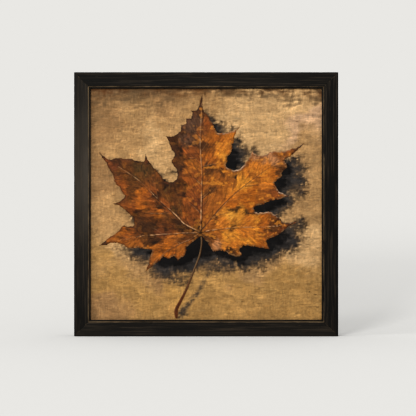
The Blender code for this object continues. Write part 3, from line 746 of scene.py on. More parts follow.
# %% Bruises and light dashes
BRUISES = [
    # millimetres from the heart, size, paint, load
    (77, -47, 5.0, "dark umber", 0.75), (80, -50, 3.0, "umber", 0.6), (128, 52, 5.0, "umber", 0.6),
    (133, 57, 3.0, "umber", 0.6), (124, 46, 3.0, "earth", 0.6), (-84, 131, 5.0, "earth", 0.45),
    (-81, 127, 3.4, "umber", 0.4), (-66, 139, 4.0, "earth", 0.3), (26, 182, 5.0, "slate", 0.7),
    (111, 180, 6.0, "earth", 0.7), (118, 172, 4.0, "umber", 0.45), (104, -36, 3.0, "earth", 0.45),
    (139, -76, 2.4, "umber", 0.6), (-96, 181, 7.0, "brown", 0.6), (-46, 183, 9.0, "brown", 0.8),
    (-122, 178, 12.0, "brown", 0.9), (0, 184, 8.0, "brown", 0.65), (50, 184, 6.0, "brown", 0.6),
    (68, 175, 12.0, "earth", 1.0), (80, 178, 8.0, "brown", 0.8), (-126, 172, 16.0, "earth", 1.0),
    (-108, 175, 14.0, "earth", 1.0), (-116, 179, 10.0, "brown", 0.7), (-88, 171, 10.0, "earth", 0.8),
    (120, 166, 14.0, "earth", 1.0), (146, 167, 12.0, "earth", 1.0), (134, 176, 10.0, "brown", 0.7),
    (-44, 170, 14.0, "earth", 0.8), (-54, 163, 10.0, "earth", 0.6), (-81, 162, 10.0, "earth", 0.7),
    (13, 180, 7.0, "earth", 0.8), (132, 48, 4.0, "dark umber", 0.9), (136, 60, 3.0, "dark umber", 0.8),
]
for x, z, size, paint, load in BRUISES:
    (px, pz), = from_heart([(x, z)])
    for _ in range(9):
        jog_x, jog_z = rng.normal(0, size * 0.50 * MM, 2)
        upright = math.pi / 2 if rng.random() < 0.3 else 0.0
        lay_stroke(ground_film, px + 1.4 * jog_x, pz + 0.6 * jog_z, upright + rng.normal(0, 0.12), size * MM,
                   size * 0.34 * MM, PAINTS[paint], 0.55 * load, 0.02 * MM, 0)
LIGHT_DASHES = [(88, -47, 13), (-2, -100, 20), (80, -88, 22), (112, -104, 16), (40, 138, 12), (66, -62, 16),
                (118, 26, 24), (126, 10, 10), (122, -64, 18), (60, 176, 22)]
for x, z, size in LIGHT_DASHES:
    (px, pz), = from_heart([(x, z)])
    scratch(px, pz, size * MM, 0.9 * MM, PAINTS["straw"] * 1.1, 0.45)
    scratch(px + 2 * MM, pz - 1.2 * MM, size * 0.8 * MM, 0.8 * MM, PAINTS["umber"], 0.5)
print(len(BRUISES), "bruises and", len(LIGHT_DASHES), "light dashes")

# %% Settle the pigment, and flick out the leaf's tips
crisp(ground_film, 2.0 * MM, 1.15)
dry = crossed(ground_film, 14 * MM, 1.3 * MM)
ground_film.colour *= (1 + 0.34 * (threads - 0.5) + 0.34 * (dry - 0.5))[..., None]
for (x, z), (way_x, way_z) in zip(leaf_tips, tip_ways):
    angle = math.atan2(way_z, way_x)
    for back in (0.2, 1.6, 3.0):
        lay_stroke(ground_film, x - way_x * back * MM, z - way_z * back * MM, angle, 3.4 * MM,
                   (1.0 + 0.25 * back) * MM, PAINTS["umber"], 0.95, 0.05 * MM, 0)
LONG_TIPS = [
    # from, to (millimetres from the heart), width, paint
    ((-1.5, 150), (1.0, 170), 4.6, "brown"), ((0, 156), (1.4, 171), 2.6, "umber"),
    ((108, 10), (121, 12.4), 2.2, "red brown"), ((104, 8), (117, 11), 3.0, "brown"),
]
for (x0, z0), (x1, z1), width, paint in LONG_TIPS:
    (px, pz), = from_heart([((x0 + x1) / 2, (z0 + z1) / 2)])
    lay_stroke(ground_film, px, pz, math.atan2(z1 - z0, x1 - x0), math.hypot(x1 - x0, z1 - z0) * 1.15 * MM,
               width * MM, PAINTS[paint], 1.0, 0.05 * MM, 0)
print(len(leaf_tips), "leaf tips are flicked out, and", len(LONG_TIPS), "long ones are drawn")

# %% [markdown]
# ## The veins
#
# A maple leaf has one strong vein to each lobe, all from the heart, and thinner ones that leave them on
# both sides at a slant like the barbs of a feather. The strong ones and a few that show well are listed
# one by one. The rest are grown by a loop, which is both shorter and more even than drawing each.

# %% Place the strong veins, and grow the thin ones
MAIN_VEINS = {
    "top": [(0, 0), (0.5, 20), (1, 45), (1.5, 75), (0.3, 95), (-0.5, 118), (1, 150), (1.6, 165)],
    "upper left": [(0, 0), (-20, 10.5), (-28, 18.5), (-38, 28), (-50, 38.5), (-60, 48), (-72, 60), (-84, 70),
                   (-104, 83)],
    "upper right": [(0, 0), (8, 9), (14, 16.5), (22, 26), (30, 35), (40, 45), (50, 53.5), (58, 60), (70, 69),
                    (88, 82), (112, 98)],
    "lower left": [(0, 0), (-20, -1), (-31, -1.6), (-45, -2.5), (-60, -3.4), (-75, -4.8), (-90, -8),
                   (-112, -11)],
    "lower right": [(0, 0), (12, 2.4), (25, 4), (40, 5.4), (55, 6.4), (80, 6.6), (100, 8.4), (116, 12)],
    "base left": [(0, 0), (-12, -8.5), (-25, -14), (-42, -23.5), (-55, -35), (-65, -45)],
    "base right": [(0, 0), (10, -7), (20, -12.5), (33, -17), (48, -24)],
}
SHORT_VEINS = [
    [(2, 83), (10, 85), (20, 87), (28, 90.5)], [(2, 43), (10, 50), (15, 54.5)],
    [(0, 118), (-8, 126.5), (-15, 131)], [(14, 17), (22, 21), (31, 23.5)], [(-14, 94), (-5, 94)],
    [(-71, 25), (-55, 23.5), (-40, 24)], [(57, 59), (65, 59.5), (76, 60), (86, 62)],
    [(1, 22), (-6, 30), (-15, 38)], [(1, 60), (-8, 68), (-20, 74)],
]
main_veins = {name: from_heart(smooth_line(points)) for name, points in MAIN_VEINS.items()}
short_veins = [from_heart(smooth_line(points)) for points in SHORT_VEINS]


def grow_veins(parent, gap, slant=math.radians(42)):
    """Thin veins that leave a strong one on alternate sides and curve towards its tip."""
    steps = np.linalg.norm(np.diff(parent, axis=0), axis=1)
    run = np.concatenate([[0], np.cumsum(steps)])
    grown, at, side = [], 0.16 * run[-1], 1
    while at < 0.93 * run[-1]:
        x, z = np.interp(at, run, parent[:, 0]), np.interp(at, run, parent[:, 1])
        ahead = np.interp(at + MM, run, parent[:, 0]), np.interp(at + MM, run, parent[:, 1])
        heading = math.atan2(ahead[1] - z, ahead[0] - x)
        size = (1 - at / run[-1]) ** 0.6 * rng.uniform(0.24, 0.34) * run[-1]
        bends = [heading + side * slant * (1 - 0.12 * k) for k in range(6)]
        path = np.cumsum([(0, 0)] + [(math.cos(b) * size / 6, math.sin(b) * size / 6) for b in bends], axis=0)
        grown.append(path + (x, z))
        at += gap * rng.uniform(0.8, 1.2)
        side = -side
    return grown


thin_veins = [thin for line in main_veins.values() for thin in grow_veins(line, 5.5 * MM)]
print(len(main_veins), "strong veins,", len(short_veins), "short,", len(thin_veins), "thin")

# %% [markdown]
# ## Where each colour goes
#
# A painter blocks in colour before any detail. Each row is a wash: a spot on the leaf, how far it
# spreads, and a paint. Between spots the paints meet, and a slow random wobble of the places keeps the
# meeting lines natural. The left half lies in shade, in umbers and rust. The right half catches the
# light, in orange and gold.

# %% Block in the leaf
LEAF_WASHES = [
    # upper left lobe
    (-125, 98, 6, "dark umber"), (-112, 97, 4, "umber"), (-112, 85, 7, "red brown"), (-108, 92, 5, "umber"),
    (-100, 87, 8, "brown"), (-80, 86, 9, "olive"), (-70, 92, 5, "dark umber"), (-82, 93, 5, "dark umber"),
    (-104, 76, 8, "brown"), (-90, 74, 8, "brown"), (-74, 74, 8, "olive"), (-102, 61, 9, "rust"),
    (-84, 58, 9, "brown"), (-93, 46, 7, "brown"), (-88, 40, 5, "rust"), (-82, 27, 7, "umber"),
    (-77, 48, 6, "burnt orange"), (-62, 52, 7, "rust"), (-60, 62, 7, "brown"), (-50, 60, 5, "dark umber"),
    (-103, 37, 5, "brown"), (-91, 34, 6, "rust"), (-79, 34, 6, "burnt orange"), (-66, 36, 8, "rust"),
    (-55, 46, 8, "umber"), (-38, 46, 7, "brown"), (-46, 56, 5, "olive"), (-36, 69, 6, "dark umber"),
    (-36, 60, 7, "umber"), (-26, 53, 5, "umber"), (-51, 18, 6, "burnt orange"), (-44, 18, 5, "brown"),
    (-51, 28, 6, "umber"), (-76, 21, 6, "brown"), (-70, 8, 7, "umber"), (-55, 10, 8, "umber"),
    (-44, 31, 8, "rust"), (-30, 38, 8, "brown"), (-34, 30, 5, "olive"), (-26, 24, 8, "brown"),
    (-34, 10, 8, "umber"), (-16, 22, 6, "rust"), (-26, 12, 5, "umber"),
    # lower left lobes
    (-120, -9, 7, "umber"), (-106, -5, 6, "sienna"), (-97, 1, 6, "burnt orange"), (-95, 6, 7, "umber"),
    (-88, -4, 5, "rust"), (-84, -14, 7, "sienna"), (-73, -24, 6, "orange"), (-74, -8, 6, "brown"),
    (-59, -9, 7, "umber"), (-58, -9, 4, "dark umber"), (-54, -16, 7, "sienna"), (-60, -33, 7, "sienna"),
    (-54, -26, 7, "burnt orange"), (-40, -16, 8, "burnt orange"), (-36, -26, 6, "burnt orange"),
    (-32, -9, 6, "sienna"), (-25, -24, 6, "sienna"), (-16, -7, 6, "brown"), (-45, 0, 6, "red brown"),
    # top lobe
    (2, 166, 6, "umber"), (-1, 150, 7, "brown"), (-1, 139, 4, "violet"), (-4, 143, 7, "violet"),
    (-12, 135, 7, "violet"), (-20, 126, 8, "umber"), (-34, 117, 8, "umber"), (-14, 116, 9, "violet"),
    (-28, 103, 8, "umber"), (-12, 101, 8, "rust"), (-21, 92, 7, "brown"), (-26, 80, 7, "umber"),
    (-10, 84, 7, "sienna"), (-13, 68, 9, "rust"), (-26, 66, 7, "brown"), (8, 141, 7, "rust"),
    (9, 122, 6, "sienna"), (22, 119, 7, "burnt orange"), (40, 120, 7, "orange"), (28, 108, 8, "orange"),
    (9, 110, 6, "brown"), (16, 102, 5, "sienna"), (3, 105, 5, "brown"), (30, 96, 7, "amber"),
    (12, 92, 6, "burnt orange"), (9, 77, 6, "brown"), (26, 82, 6, "burnt orange"), (25, 74, 5, "brown"),
    (46, 73, 5, "dark umber"),
    # the heart and the middle
    (-8, 52, 8, "rust"), (-18, 47, 8, "rust"), (-7, 36, 7, "red brown"), (-8, 20, 6, "rust"),
    (-6, 8, 5, "umber"), (10, 62, 7, "sienna"), (15, 50, 7, "brown"), (22, 60, 8, "sienna"),
    (8, 30, 7, "sienna"), (20, 40, 8, "sienna"), (6, 14, 5, "sienna"),
    # upper right lobe
    (40, 70, 6, "sienna"), (30, 66, 6, "sienna"), (50, 68, 9, "amber"), (54, 84, 6, "sienna"),
    (60, 93, 4, "red brown"), (66, 84, 9, "orange"), (72, 94, 6, "mauve"), (90, 96, 7, "mauve"),
    (106, 98, 7, "sienna"), (122, 107, 6, "brown"), (116, 95, 4, "umber"), (84, 80, 9, "orange"),
    (99, 84, 6, "brown"), (96, 74, 6, "burnt orange"), (72, 70, 7, "sienna"), (60, 52, 9, "burnt orange"),
    (86, 60, 7, "orange"), (92, 49, 7, "rust"), (108, 47, 4, "red brown"), (78, 44, 7, "sienna"),
    (46, 52, 9, "orange"), (40, 37, 8, "burnt orange"), (63, 38, 7, "burnt orange"), (72, 32, 4, "brown"),
    # lower right lobes
    (47, 24, 6, "amber"), (30, 13, 7, "orange"), (43, 27, 6, "olive"), (46, 25, 4, "umber"),
    (37, 17, 5, "gold"), (24, 17, 4, "brown"), (58, 23, 5, "olive"), (60, 12, 7, "orange"),
    (68, 22, 3, "umber"), (73, 14, 5, "amber"), (82, 15, 8, "burnt orange"), (94, 10, 8, "brown"),
    (108, 8, 6, "red brown"), (107, 14, 5, "dark umber"), (77, 0, 8, "sienna"), (90, 0, 6, "rust"),
    (58, -3, 7, "orange"), (43, 2, 4, "brown"), (40, -6, 9, "amber"), (22, -7, 7, "sienna"),
    (10, -7, 5, "brown"), (20, -18, 5, "mauve"), (34, -18, 7, "orange"), (42, -25, 6, "brown"),
    (55, -12, 6, "amber"), (76, -14, 7, "burnt orange"), (50, -16, 6, "orange"),
]


margin = 4 * MM
leaf_film = Film((leaf_low.x - margin, leaf_low.z - margin), (leaf_high.x + margin, leaf_high.z + margin))
grid_x, grid_z = np.meshgrid(leaf_film.x, leaf_film.z)
wobble_x = (leaf_film.clouds(14 * MM, 14 * MM) - 0.5) * 16 * MM
wobble_z = (leaf_film.clouds(14 * MM, 14 * MM) - 0.5) * 16 * MM
leaf_block = washed(grid_x + wobble_x, grid_z + wobble_z, LEAF_WASHES, from_heart)
leaf_film.colour[:] = leaf_block * (0.75 + 0.5 * leaf_film.clouds(6 * MM, 6 * MM))[..., None]
print("the leaf is blocked in over", leaf_film.body.shape, "cells")

# %% [markdown]
# ## Brushwork on the leaf
#
# Over the washes go three coats of strokes, each finer than the last. Every stroke takes the colour
# blocked in under it and strays a little, lighter or darker, warmer or cooler. It leans away from the
# nearest strong vein, so the brush follows the leaf's own growth. That slant is what makes a patch of
# brown read as leaf.

# %% Three coats of leaf strokes
def leaning(x, z):
    """The way a brush runs at each place: along the nearest strong vein, slanted towards the margin."""
    best, lean = np.full(np.shape(x), np.inf), np.zeros(np.shape(x))
    for line in main_veins.values():
        distance, _, side, angle = near_line(x, z, line)
        closer = distance < best
        slant = np.clip(distance / (10 * MM), 0.25, 1) * math.radians(36)
        lean = np.where(closer, angle + side * slant, lean)
        best = np.where(closer, distance, best)
    return lean


LEAF_COATS = [
    # strokes, length, width, load, ridge, how far the colour strays
    (1500, 13 * MM, 3.6 * MM, 0.55, 0.06 * MM, 0.20),
    (5000, 9 * MM, 1.8 * MM, 0.50, 0.11 * MM, 0.32),
    (7000, 7 * MM, 0.9 * MM, 0.50, 0.15 * MM, 0.42),
]
brush_over(leaf_film, leaf_block, LEAF_COATS, leaning, (leaf_low.x, leaf_low.z), (leaf_high.x, leaf_high.z))

# %% [markdown]
# ## Stains, veins and the margin
#
# Dry leaves are blotched, so thin dark glazes go on next, in patches with ragged edges. Veins are drawn
# with a dark line on their shaded side and a pale one on top, and both break up here and there, as
# dragged paint does. The pale line stands above the rest. Last, the margin is darkened, and where the
# right side curls up to the light it gets a thin bright lip.

# %% Which cells lie in the leaf, and how far its outline is
leaf_inside = inside(leaf_edge, leaf_film.x, leaf_film.z)
margin_tree = kdtree.KDTree(len(leaf_edge))
for number, (x, z) in enumerate(leaf_edge):
    margin_tree.insert((x, z, 0), number)
margin_tree.balance()


def margin_distance(x, z):
    """How far each place is from the leaf's outline, and the number of the outline's nearest point."""
    found = [margin_tree.find((a, b, 0)) for a, b in zip(x, z)]
    return np.array([each[2] for each in found]), np.array([each[1] for each in found])


print("the margin is", len(leaf_edge), "steps round;", int(leaf_inside.sum()), "cells lie inside")


# %% Glaze the leaf in blotches
def glaze(film, paint, cover):
    """A thin see-through coat: it lets the colour under it show."""
    film.colour += (film.colour * 0.35 + PAINTS[paint] * 0.65 - film.colour) * cover[..., None]


shade = (heart[0] + 6 * MM - grid_x) / (60 * MM)
shade = np.clip(shade + 0.5, 0.25, 1)
blotches = np.clip((leaf_film.clouds(16 * MM, 5 * MM, 5) - 0.56) * 4.5, 0, 1)
glaze(leaf_film, "dark umber", blotches * shade * 0.62)
glaze(leaf_film, "rust", np.clip((leaf_film.clouds(9 * MM, 9 * MM, 4) - 0.60) * 6, 0, 1) * 0.35)
sparks = np.clip((leaf_film.clouds(7 * MM, 5 * MM, 4) - 0.66) * 8, 0, 1)
glaze(leaf_film, "amber", sparks * (1.15 - shade) * 0.7)
print("dark blotches cover", int((blotches * leaf_inside > 0.5).sum()), "cells")


# %% Draw one vein
def draw_vein(film, line, width, pale, dark, raised, shade_side=-1):
    """A pale line with a dark one beside it. Both taper towards the tip and break up where paint is thin."""
    reach = 4 * width + 1.5 * MM
    cols = slice(*np.searchsorted(film.x, (line[:, 0].min() - reach, line[:, 0].max() + reach)))
    rows = slice(*np.searchsorted(film.z, (line[:, 1].min() - reach, line[:, 1].max() + reach)))
    x, z = np.meshgrid(film.x[cols], film.z[rows])
    distance, share, side, _ = near_line(x, z, line)
    taper = width * (1 - 0.70 * share)
    broken = dry_brush[rows, cols]
    signed = distance * side * shade_side
    groove = np.clip(1 - np.abs(signed - taper * 0.9) / (taper * 0.9 + 0.3 * MM), 0, 1)
    groove = groove * dark * np.clip(1.25 - share, 0, 1) * (0.6 + 0.4 * broken)
    colour, body = film.colour[rows, cols], film.body[rows, cols]
    colour += (PAINTS["dark umber"] - colour) * groove[..., None]
    line_cover = np.clip(1.3 - distance / (taper * 0.35 + 0.10 * MM), 0, 1)
    line_cover = line_cover * pale * (1 - 0.45 * share) * np.clip(broken * 1.7 - 0.15, 0.10, 1)
    line_cover = line_cover * np.clip(0.30 + 7 * share, 0, 1)
    colour += (PAINTS["pale vein"] - colour) * line_cover[..., None]
    body += raised * np.clip(1.3 - distance / (taper * 0.9 + 0.2 * MM), 0, 1) * (1 - 0.7 * share)


# %% Draw every vein
dry_brush = leaf_film.clouds(5 * MM, 5 * MM, 3)
for thin in thin_veins:
    width, pale, dark = rng.uniform(0.4, 0.8) * MM, rng.choice([0, 0.08, 0.20]), rng.uniform(0.15, 0.50)
    draw_vein(leaf_film, thin, width, pale, dark, 0.07 * MM, rng.choice([-1, 1]))
for short in short_veins:
    draw_vein(leaf_film, short, 0.8 * MM, 0.38, 0.95, 0.12 * MM)
VEIN_LOOKS = {
    # width, pale, dark, raised, which side is shaded
    "top": (1.15 * MM, 0.74, 0.90, 0.28 * MM, -1),
    "upper left": (1.00 * MM, 0.66, 1.00, 0.28 * MM, 1),
    "upper right": (1.05 * MM, 0.32, 1.00, 0.20 * MM, 1),
    "lower left": (0.80 * MM, 0.60, 1.00, 0.24 * MM, 1),
    "lower right": (0.85 * MM, 0.84, 0.90, 0.24 * MM, -1),
    "base left": (0.75 * MM, 0.50, 1.00, 0.20 * MM, 1),
    "base right": (0.70 * MM, 0.30, 0.85, 0.16 * MM, -1),
}
for name, (width, pale, dark, raised, side) in VEIN_LOOKS.items():
    draw_vein(leaf_film, main_veins[name], width, pale, dark, raised, side)
print(len(thin_veins) + len(short_veins) + len(VEIN_LOOKS), "veins are drawn")

# %% Measure the margin: how deep inside, which way it faces, and whether shadow lies beside it
cells = np.argwhere(leaf_inside)
cell_x, cell_z = leaf_film.x[cells[:, 1]], leaf_film.z[cells[:, 0]]
depth_in, nearest = margin_distance(cell_x, cell_z)
leaf_depth = np.zeros(leaf_film.body.shape)
leaf_depth[leaf_inside] = depth_in
tangent = np.roll(leaf_edge, -1, 0) - np.roll(leaf_edge, 1, 0)
outward = np.stack([tangent[:, 1], -tangent[:, 0]], 1) / np.linalg.norm(tangent, axis=1)[:, None]
faces_light = outward @ np.array([-0.6, 0.8])
light_side = np.zeros(leaf_film.body.shape)
light_side[leaf_inside] = faces_light[nearest]
on_right = np.clip((grid_x - heart[0] - 12 * MM) / (10 * MM), 0, 1)
outside = leaf_edge + outward * 2.5 * MM
shaded_by = ground_film.read(shadow, outside[:, 0], outside[:, 1])
next_to_dark = np.zeros(leaf_film.body.shape)
next_to_dark[leaf_inside] = np.clip(shaded_by[nearest] * 2.2 - 0.5, 0, 1)
print("the widest part of the leaf is", round(2000 * float(leaf_depth.max())), "mm across")

# %% Darken the margin, and let the dry brush catch the cloth
rim = hill(leaf_depth, 1.25 * MM) * leaf_inside
broad_rim = np.exp(-leaf_depth / (3.2 * MM)) * leaf_inside
glaze(leaf_film, "red brown", broad_rim * 0.45 * (0.4 + 0.6 * dry_brush))
glaze(leaf_film, "dark umber", rim * 0.88 * (1 - 0.5 * on_right * (light_side > 0)))
inner_fold = hill(leaf_depth - 2.2 * MM, 1.2 * MM) * leaf_inside * on_right * next_to_dark
glaze(leaf_film, "red brown", inner_fold * np.clip(light_side * 1.6, 0, 1) * 0.6)
for reach, gain in ((2.0 * MM, 1.0), (11.0 * MM, 0.08)):
    crisp(leaf_film, reach, gain)
to_heart = np.hypot(grid_x - heart[0], grid_z - heart[1])
glaze(leaf_film, "dark umber", hill(to_heart, 5 * MM) * 0.55)
weave = crossed(leaf_film, 7 * MM, 0.9 * MM)
leaf_film.colour *= (1 + 0.42 * (weave - 0.5))[..., None]
print("darkened rim:", int((rim > 0.5).sum()), "cells")

# %% The bright lip, flecks and creases
lip = hill(leaf_depth - 0.35 * MM, 0.62 * MM) * leaf_inside * on_right
lip = lip * np.clip(0.35 + light_side * 1.8, 0, 1) * np.clip(dry_brush * 2.4 - 0.45, 0, 1)
lip = lip * (0.25 + 0.75 * next_to_dark)
leaf_film.colour += (PAINTS["lip"] - leaf_film.colour) * np.clip(lip, 0, 1)[..., None]
leaf_film.body += lip * 0.12 * MM
flecks = np.clip((leaf_film.clouds(2.4 * MM, 2.0 * MM, 2) - 0.50) * 6, 0, 1)
edge_flecks = hill(leaf_depth - 0.9 * MM, 0.9 * MM) * leaf_inside * next_to_dark * flecks
leaf_film.colour += (PAINTS["dull tan"] - leaf_film.colour) * np.clip(0.55 * edge_flecks, 0, 1)[..., None]
creases = np.clip((leaf_film.clouds(3.0 * MM, 2.4 * MM, 3) - 0.60) * 8, 0, 1)
creases = creases * np.exp(-leaf_depth / (7 * MM)) * leaf_inside
glaze(leaf_film, "dark umber", creases * 0.55)
print("bright lip:", int((lip > 0.5).sum()), "cells")

# %% [markdown]
# ## From paint to mesh
#
# Now the arrays become surfaces. The ground is a grid with a point every millimetre. The leaf needs a
# crisp outline, so its points are the outline itself plus a staggered grid inside it, joined into
# triangles that keep the outline's edges: a constrained Delaunay triangulation, which Blender has built
# in. Both films are closed with a flat back. The paint's thickness moves each front point towards the
# viewer.

# %% Relief and colour for a film's points
def paint_points(film, x, z):
    """Colour with alpha, and paint thickness, read from a film."""
    colour = np.clip(film.read(film.colour, x, z), 0, 1)
    return np.concatenate([colour, np.ones((len(x), 1))], axis=1), film.read(film.body, x, z)


def lay_film(name, outline, x, z, faces, height, floor, colour, stands_for):
    """A closed film of paint: a modelled front, a skirt round the outline's points, and a flat back."""
    front = np.stack([x, floor - height, z], axis=1)
    count = len(outline)
    back_ring = np.stack([x[outline], np.full(count, ground_back), z[outline]], axis=1)
    base = len(front)
    skirt = [
        (int(outline[i]), base + i, base + (i + 1) % count, int(outline[(i + 1) % count]))
        for i in range(count)
    ]
    back = tuple(base + i for i in range(count))
    made = make_piece(name, np.concatenate([front, back_ring]), [*faces, *skirt, back], stands_for)
    store(made, "paint", np.concatenate([colour, colour[outline]]))
    return made


# %% The ground as a mesh
GROUND_STEP = 1.0 * MM
columns, rows = (
    np.linspace(low, high, round((high - low) / GROUND_STEP) + 1)
    for low, high in ((ground_low.x, ground_high.x), (ground_low.z, ground_high.z))
)
across, up = len(columns), len(rows)
mesh_x, mesh_z = (each.ravel() for each in np.meshgrid(columns, rows))
index = np.arange(across * up).reshape(up, across)
quads = np.stack([index[:-1, :-1], index[:-1, 1:], index[1:, 1:], index[1:, :-1]], axis=-1)
quads = quads.reshape(-1, 4)
ring = np.concatenate([index[0, :-1], index[:-1, -1], index[-1, :0:-1], index[:0:-1, 0]])
ground_colour, ground_body = paint_points(ground_film, mesh_x, mesh_z)
ground_piece = lay_film("painted_ground", ring, mesh_x, mesh_z, quads.tolist(), ground_body, ground_front,
                        ground_colour, ["paint_ground"])

# %% Fill an outline with triangles
def within(outline, x, z):
    """Whether each place lies inside the outline, by counting crossings to its left."""
    (x0, z0), (x1, z1) = outline.T[:, :, None], np.roll(outline, -1, 0).T[:, :, None]
    spans = (z0 > z) != (z1 > z)
    with np.errstate(divide="ignore", invalid="ignore"):
        crossing = x0 + (x1 - x0) * (z - z0) / (z1 - z0)
    return (spans & (x > crossing)).sum(0) % 2 == 1


def fill_outline(outline, step):
    """Points and triangles that fill an outline. The outline's own points come first."""
    x = np.arange(outline[:, 0].min(), outline[:, 0].max(), step)
    z = np.arange(outline[:, 1].min(), outline[:, 1].max(), step)
    grid = np.stack(np.meshgrid(x, z), axis=-1)
    grid[1::2, :, 0] += step / 2
    keep = inside(outline, x, z) & inside(outline, x + step / 2, z)
    grid = grid[keep]
    tree = kdtree.KDTree(len(outline))
    for number, (a, b) in enumerate(outline):
        tree.insert((a, b, 0), number)
    tree.balance()
    clear = np.array([tree.find((a, b, 0))[2] > 0.6 * step for a, b in grid], bool)
    flat = np.concatenate([outline, grid[clear]])
    ring = [(i, (i + 1) % len(outline)) for i in range(len(outline))]
    made = geometry.delaunay_2d_cdt([Vector(p) for p in flat.tolist()], ring, [], 1, 1e-7, False)
    points = np.array([(p.x, p.y) for p in made[0]])
    faces = np.array(made[2])
    doubtful = np.flatnonzero((faces < len(outline)).all(1))
    middles = points[faces[doubtful]].mean(1)
    outer = doubtful[~within(outline, middles[:, 0], middles[:, 1])]
    return points, np.delete(faces, outer, axis=0).tolist()


# %% The leaf as a mesh
def on_the_ground(points):
    """How far forward the painted ground comes under each point, and a little more."""
    return ground_front - 0.10 * MM - ground_film.read(ground_film.body, points[:, 0], points[:, 1])


LEAF_STEP = 0.72 * MM
leaf_points, leaf_faces = fill_outline(leaf_edge, LEAF_STEP)
print("same outline points:", bool(np.allclose(leaf_points[: len(leaf_edge)], leaf_edge, atol=1e-6)))
leaf_in, _ = margin_distance(leaf_points[:, 0], leaf_points[:, 1])
leaf_colour, leaf_body = paint_points(leaf_film, leaf_points[:, 0], leaf_points[:, 1])
swell = 0.34 * MM * (1 - np.exp(-leaf_in / (0.9 * MM)))
cockle = leaf_film.read(leaf_film.clouds(26 * MM, 26 * MM, 2), leaf_points[:, 0], leaf_points[:, 1])
cockle = 0.16 * MM * cockle * np.clip(leaf_in / (6 * MM), 0, 1)
leaf_height = swell + leaf_body * np.clip(leaf_in / (0.8 * MM), 0, 1) + cockle
leaf_floor = on_the_ground(leaf_points)
leaf_piece = lay_film("maple_leaf_paint", np.arange(len(leaf_edge)), leaf_points[:, 0], leaf_points[:, 1],
                      leaf_faces, leaf_height, leaf_floor, leaf_colour, ["painted_leaf"])

# %% [markdown]
# ## The stem
#
# The stem is a single thick line of paint: ochre where the light catches its left side, dark red brown on
# the right and at the foot, where it swells. It is meshed like the leaf, but its height is round, like a
# bead.

# %% Slim the stem and fill its outline
STEM_LINE = [(1.2, -6), (1.2, -15), (-1.2, -29), (-6.4, -43), (-12.2, -58), (-19, -74.5), (-26, -88.5),
             (-30.3, -97), (-31, -104), (-30.2, -109)]
stem_line = from_heart(smooth_line(STEM_LINE))
_, share, _, _ = near_line(stem_edge[:, 0], stem_edge[:, 1], stem_line)
steps_along = np.concatenate([[0], np.cumsum(np.linalg.norm(np.diff(stem_line, axis=0), axis=1))])
share_along = steps_along / steps_along[-1]
on_line = np.stack([np.interp(share, share_along, stem_line[:, axis]) for axis in (0, 1)], axis=1)
slimmer = np.interp(share, [0, 0.1, 0.75, 0.95], [0, 0.22, 0.18, 0])[:, None]
stem_edge = stem_edge + (on_line - stem_edge) * slimmer
stem_points, stem_faces = fill_outline(stem_edge, 0.5 * MM)
print("the stem is", round(1000 * steps_along[-1]), "mm long")

# %% Its round height, and its paint
distance, share, side, _ = near_line(stem_points[:, 0], stem_points[:, 1], stem_line)
STEM_WIDTHS = np.array([2.0, 2.4, 3.0, 4.0, 4.8, 3.0]) * MM
half_width = 0.5 * np.interp(share, [0, 0.2, 0.5, 0.8, 0.92, 1], STEM_WIDTHS)
off = np.clip(distance / half_width, 0, 1)
stem_height = 0.62 * MM * np.sqrt(np.clip(1 - off**2, 0, 1))
lit = np.clip(0.5 - 0.8 * off * side, 0, 1)
lower = np.clip((share - 0.35) / 0.4, 0, 1)
grain = 0.75 + 0.5 * rng.random(len(share))
core = np.clip(1.2 - off / 0.42, 0, 1) * lower * np.clip(1.25 - np.abs(share - 0.86) / 0.10, 0.55, 1)
lit = (lit + (0.75 - lit) * lower) * (1 - core)
dark_side = PAINTS["umber"] + (PAINTS["dark umber"] - PAINTS["umber"]) * lower[:, None]
pale_side, warm_side = PAINTS["earth"] * 1.15, PAINTS["red brown"] * 1.1
light_side_paint = pale_side + (warm_side - pale_side) * lower[:, None]
stem_colour = (dark_side + (light_side_paint - dark_side) * lit[:, None]) * grain[:, None]
stem_colour = np.concatenate([np.clip(stem_colour, 0, 1), np.ones((len(share), 1))], axis=1)
stem_floor = on_the_ground(stem_points)
stem_piece = lay_film("maple_stem_paint", np.arange(len(stem_edge)), stem_points[:, 0], stem_points[:, 1],
                      stem_faces, stem_height, stem_floor, stem_colour,
                      ["painted_stem"])

# %% [markdown]
# ## Oil paint
#
# The mesh brings colour and ridges down to a millimetre. Below that the material takes over: hair marks
# drawn out level on the ground and the leaf and upright on the stem, the weave of the canvas pressed
# through thin paint, and a varnish that is glossier in places.

# %% The paint materials
PRESSED_THREADS = 260.0


def oil_paint(name, hairs, weave_depth, sheen_low, sheen_high, gain):
    """Paint whose colour is stored on the mesh. Hairs stretches the fine marks along X, Y and Z."""
    made, tree, shader = start_material(name, Specular_IOR_Level=0.08)
    colour = stored(tree, "paint", "Color")
    marks = speckle(tree, places(tree, hairs), 1.0, 4.0, 0.65)
    grains = speckle(tree, places(tree), 1500.0, 2.0, 0.6)
    lightness = calc(tree, "MULTIPLY", between(tree, marks, 0.25, 0.75, 1 - gain, 1 + gain),
                     between(tree, grains, 0.3, 0.7, 0.90, 1.10))
    grey = add(tree, "CombineColor", dict.fromkeys(("Red", "Green", "Blue"), lightness)).outputs["Color"]
    tree.links.new(blend(tree, 1.0, colour, grey, "MULTIPLY"), shader.inputs["Base Color"])
    gloss = speckle(tree, places(tree), 60.0, 3.0)
    tree.links.new(between(tree, gloss, 0.3, 0.7, sheen_low, sheen_high), shader.inputs["Roughness"])
    spots = places(tree)
    upright, level = (threads_across(tree, spots, PRESSED_THREADS, axis, 1.2) for axis in "XZ")
    weave = calc(tree, "MAXIMUM", upright, level)
    under = relief(tree, shader, weave, weave_depth)
    relief(tree, shader, marks, 0.10 * MM, under)
    return made


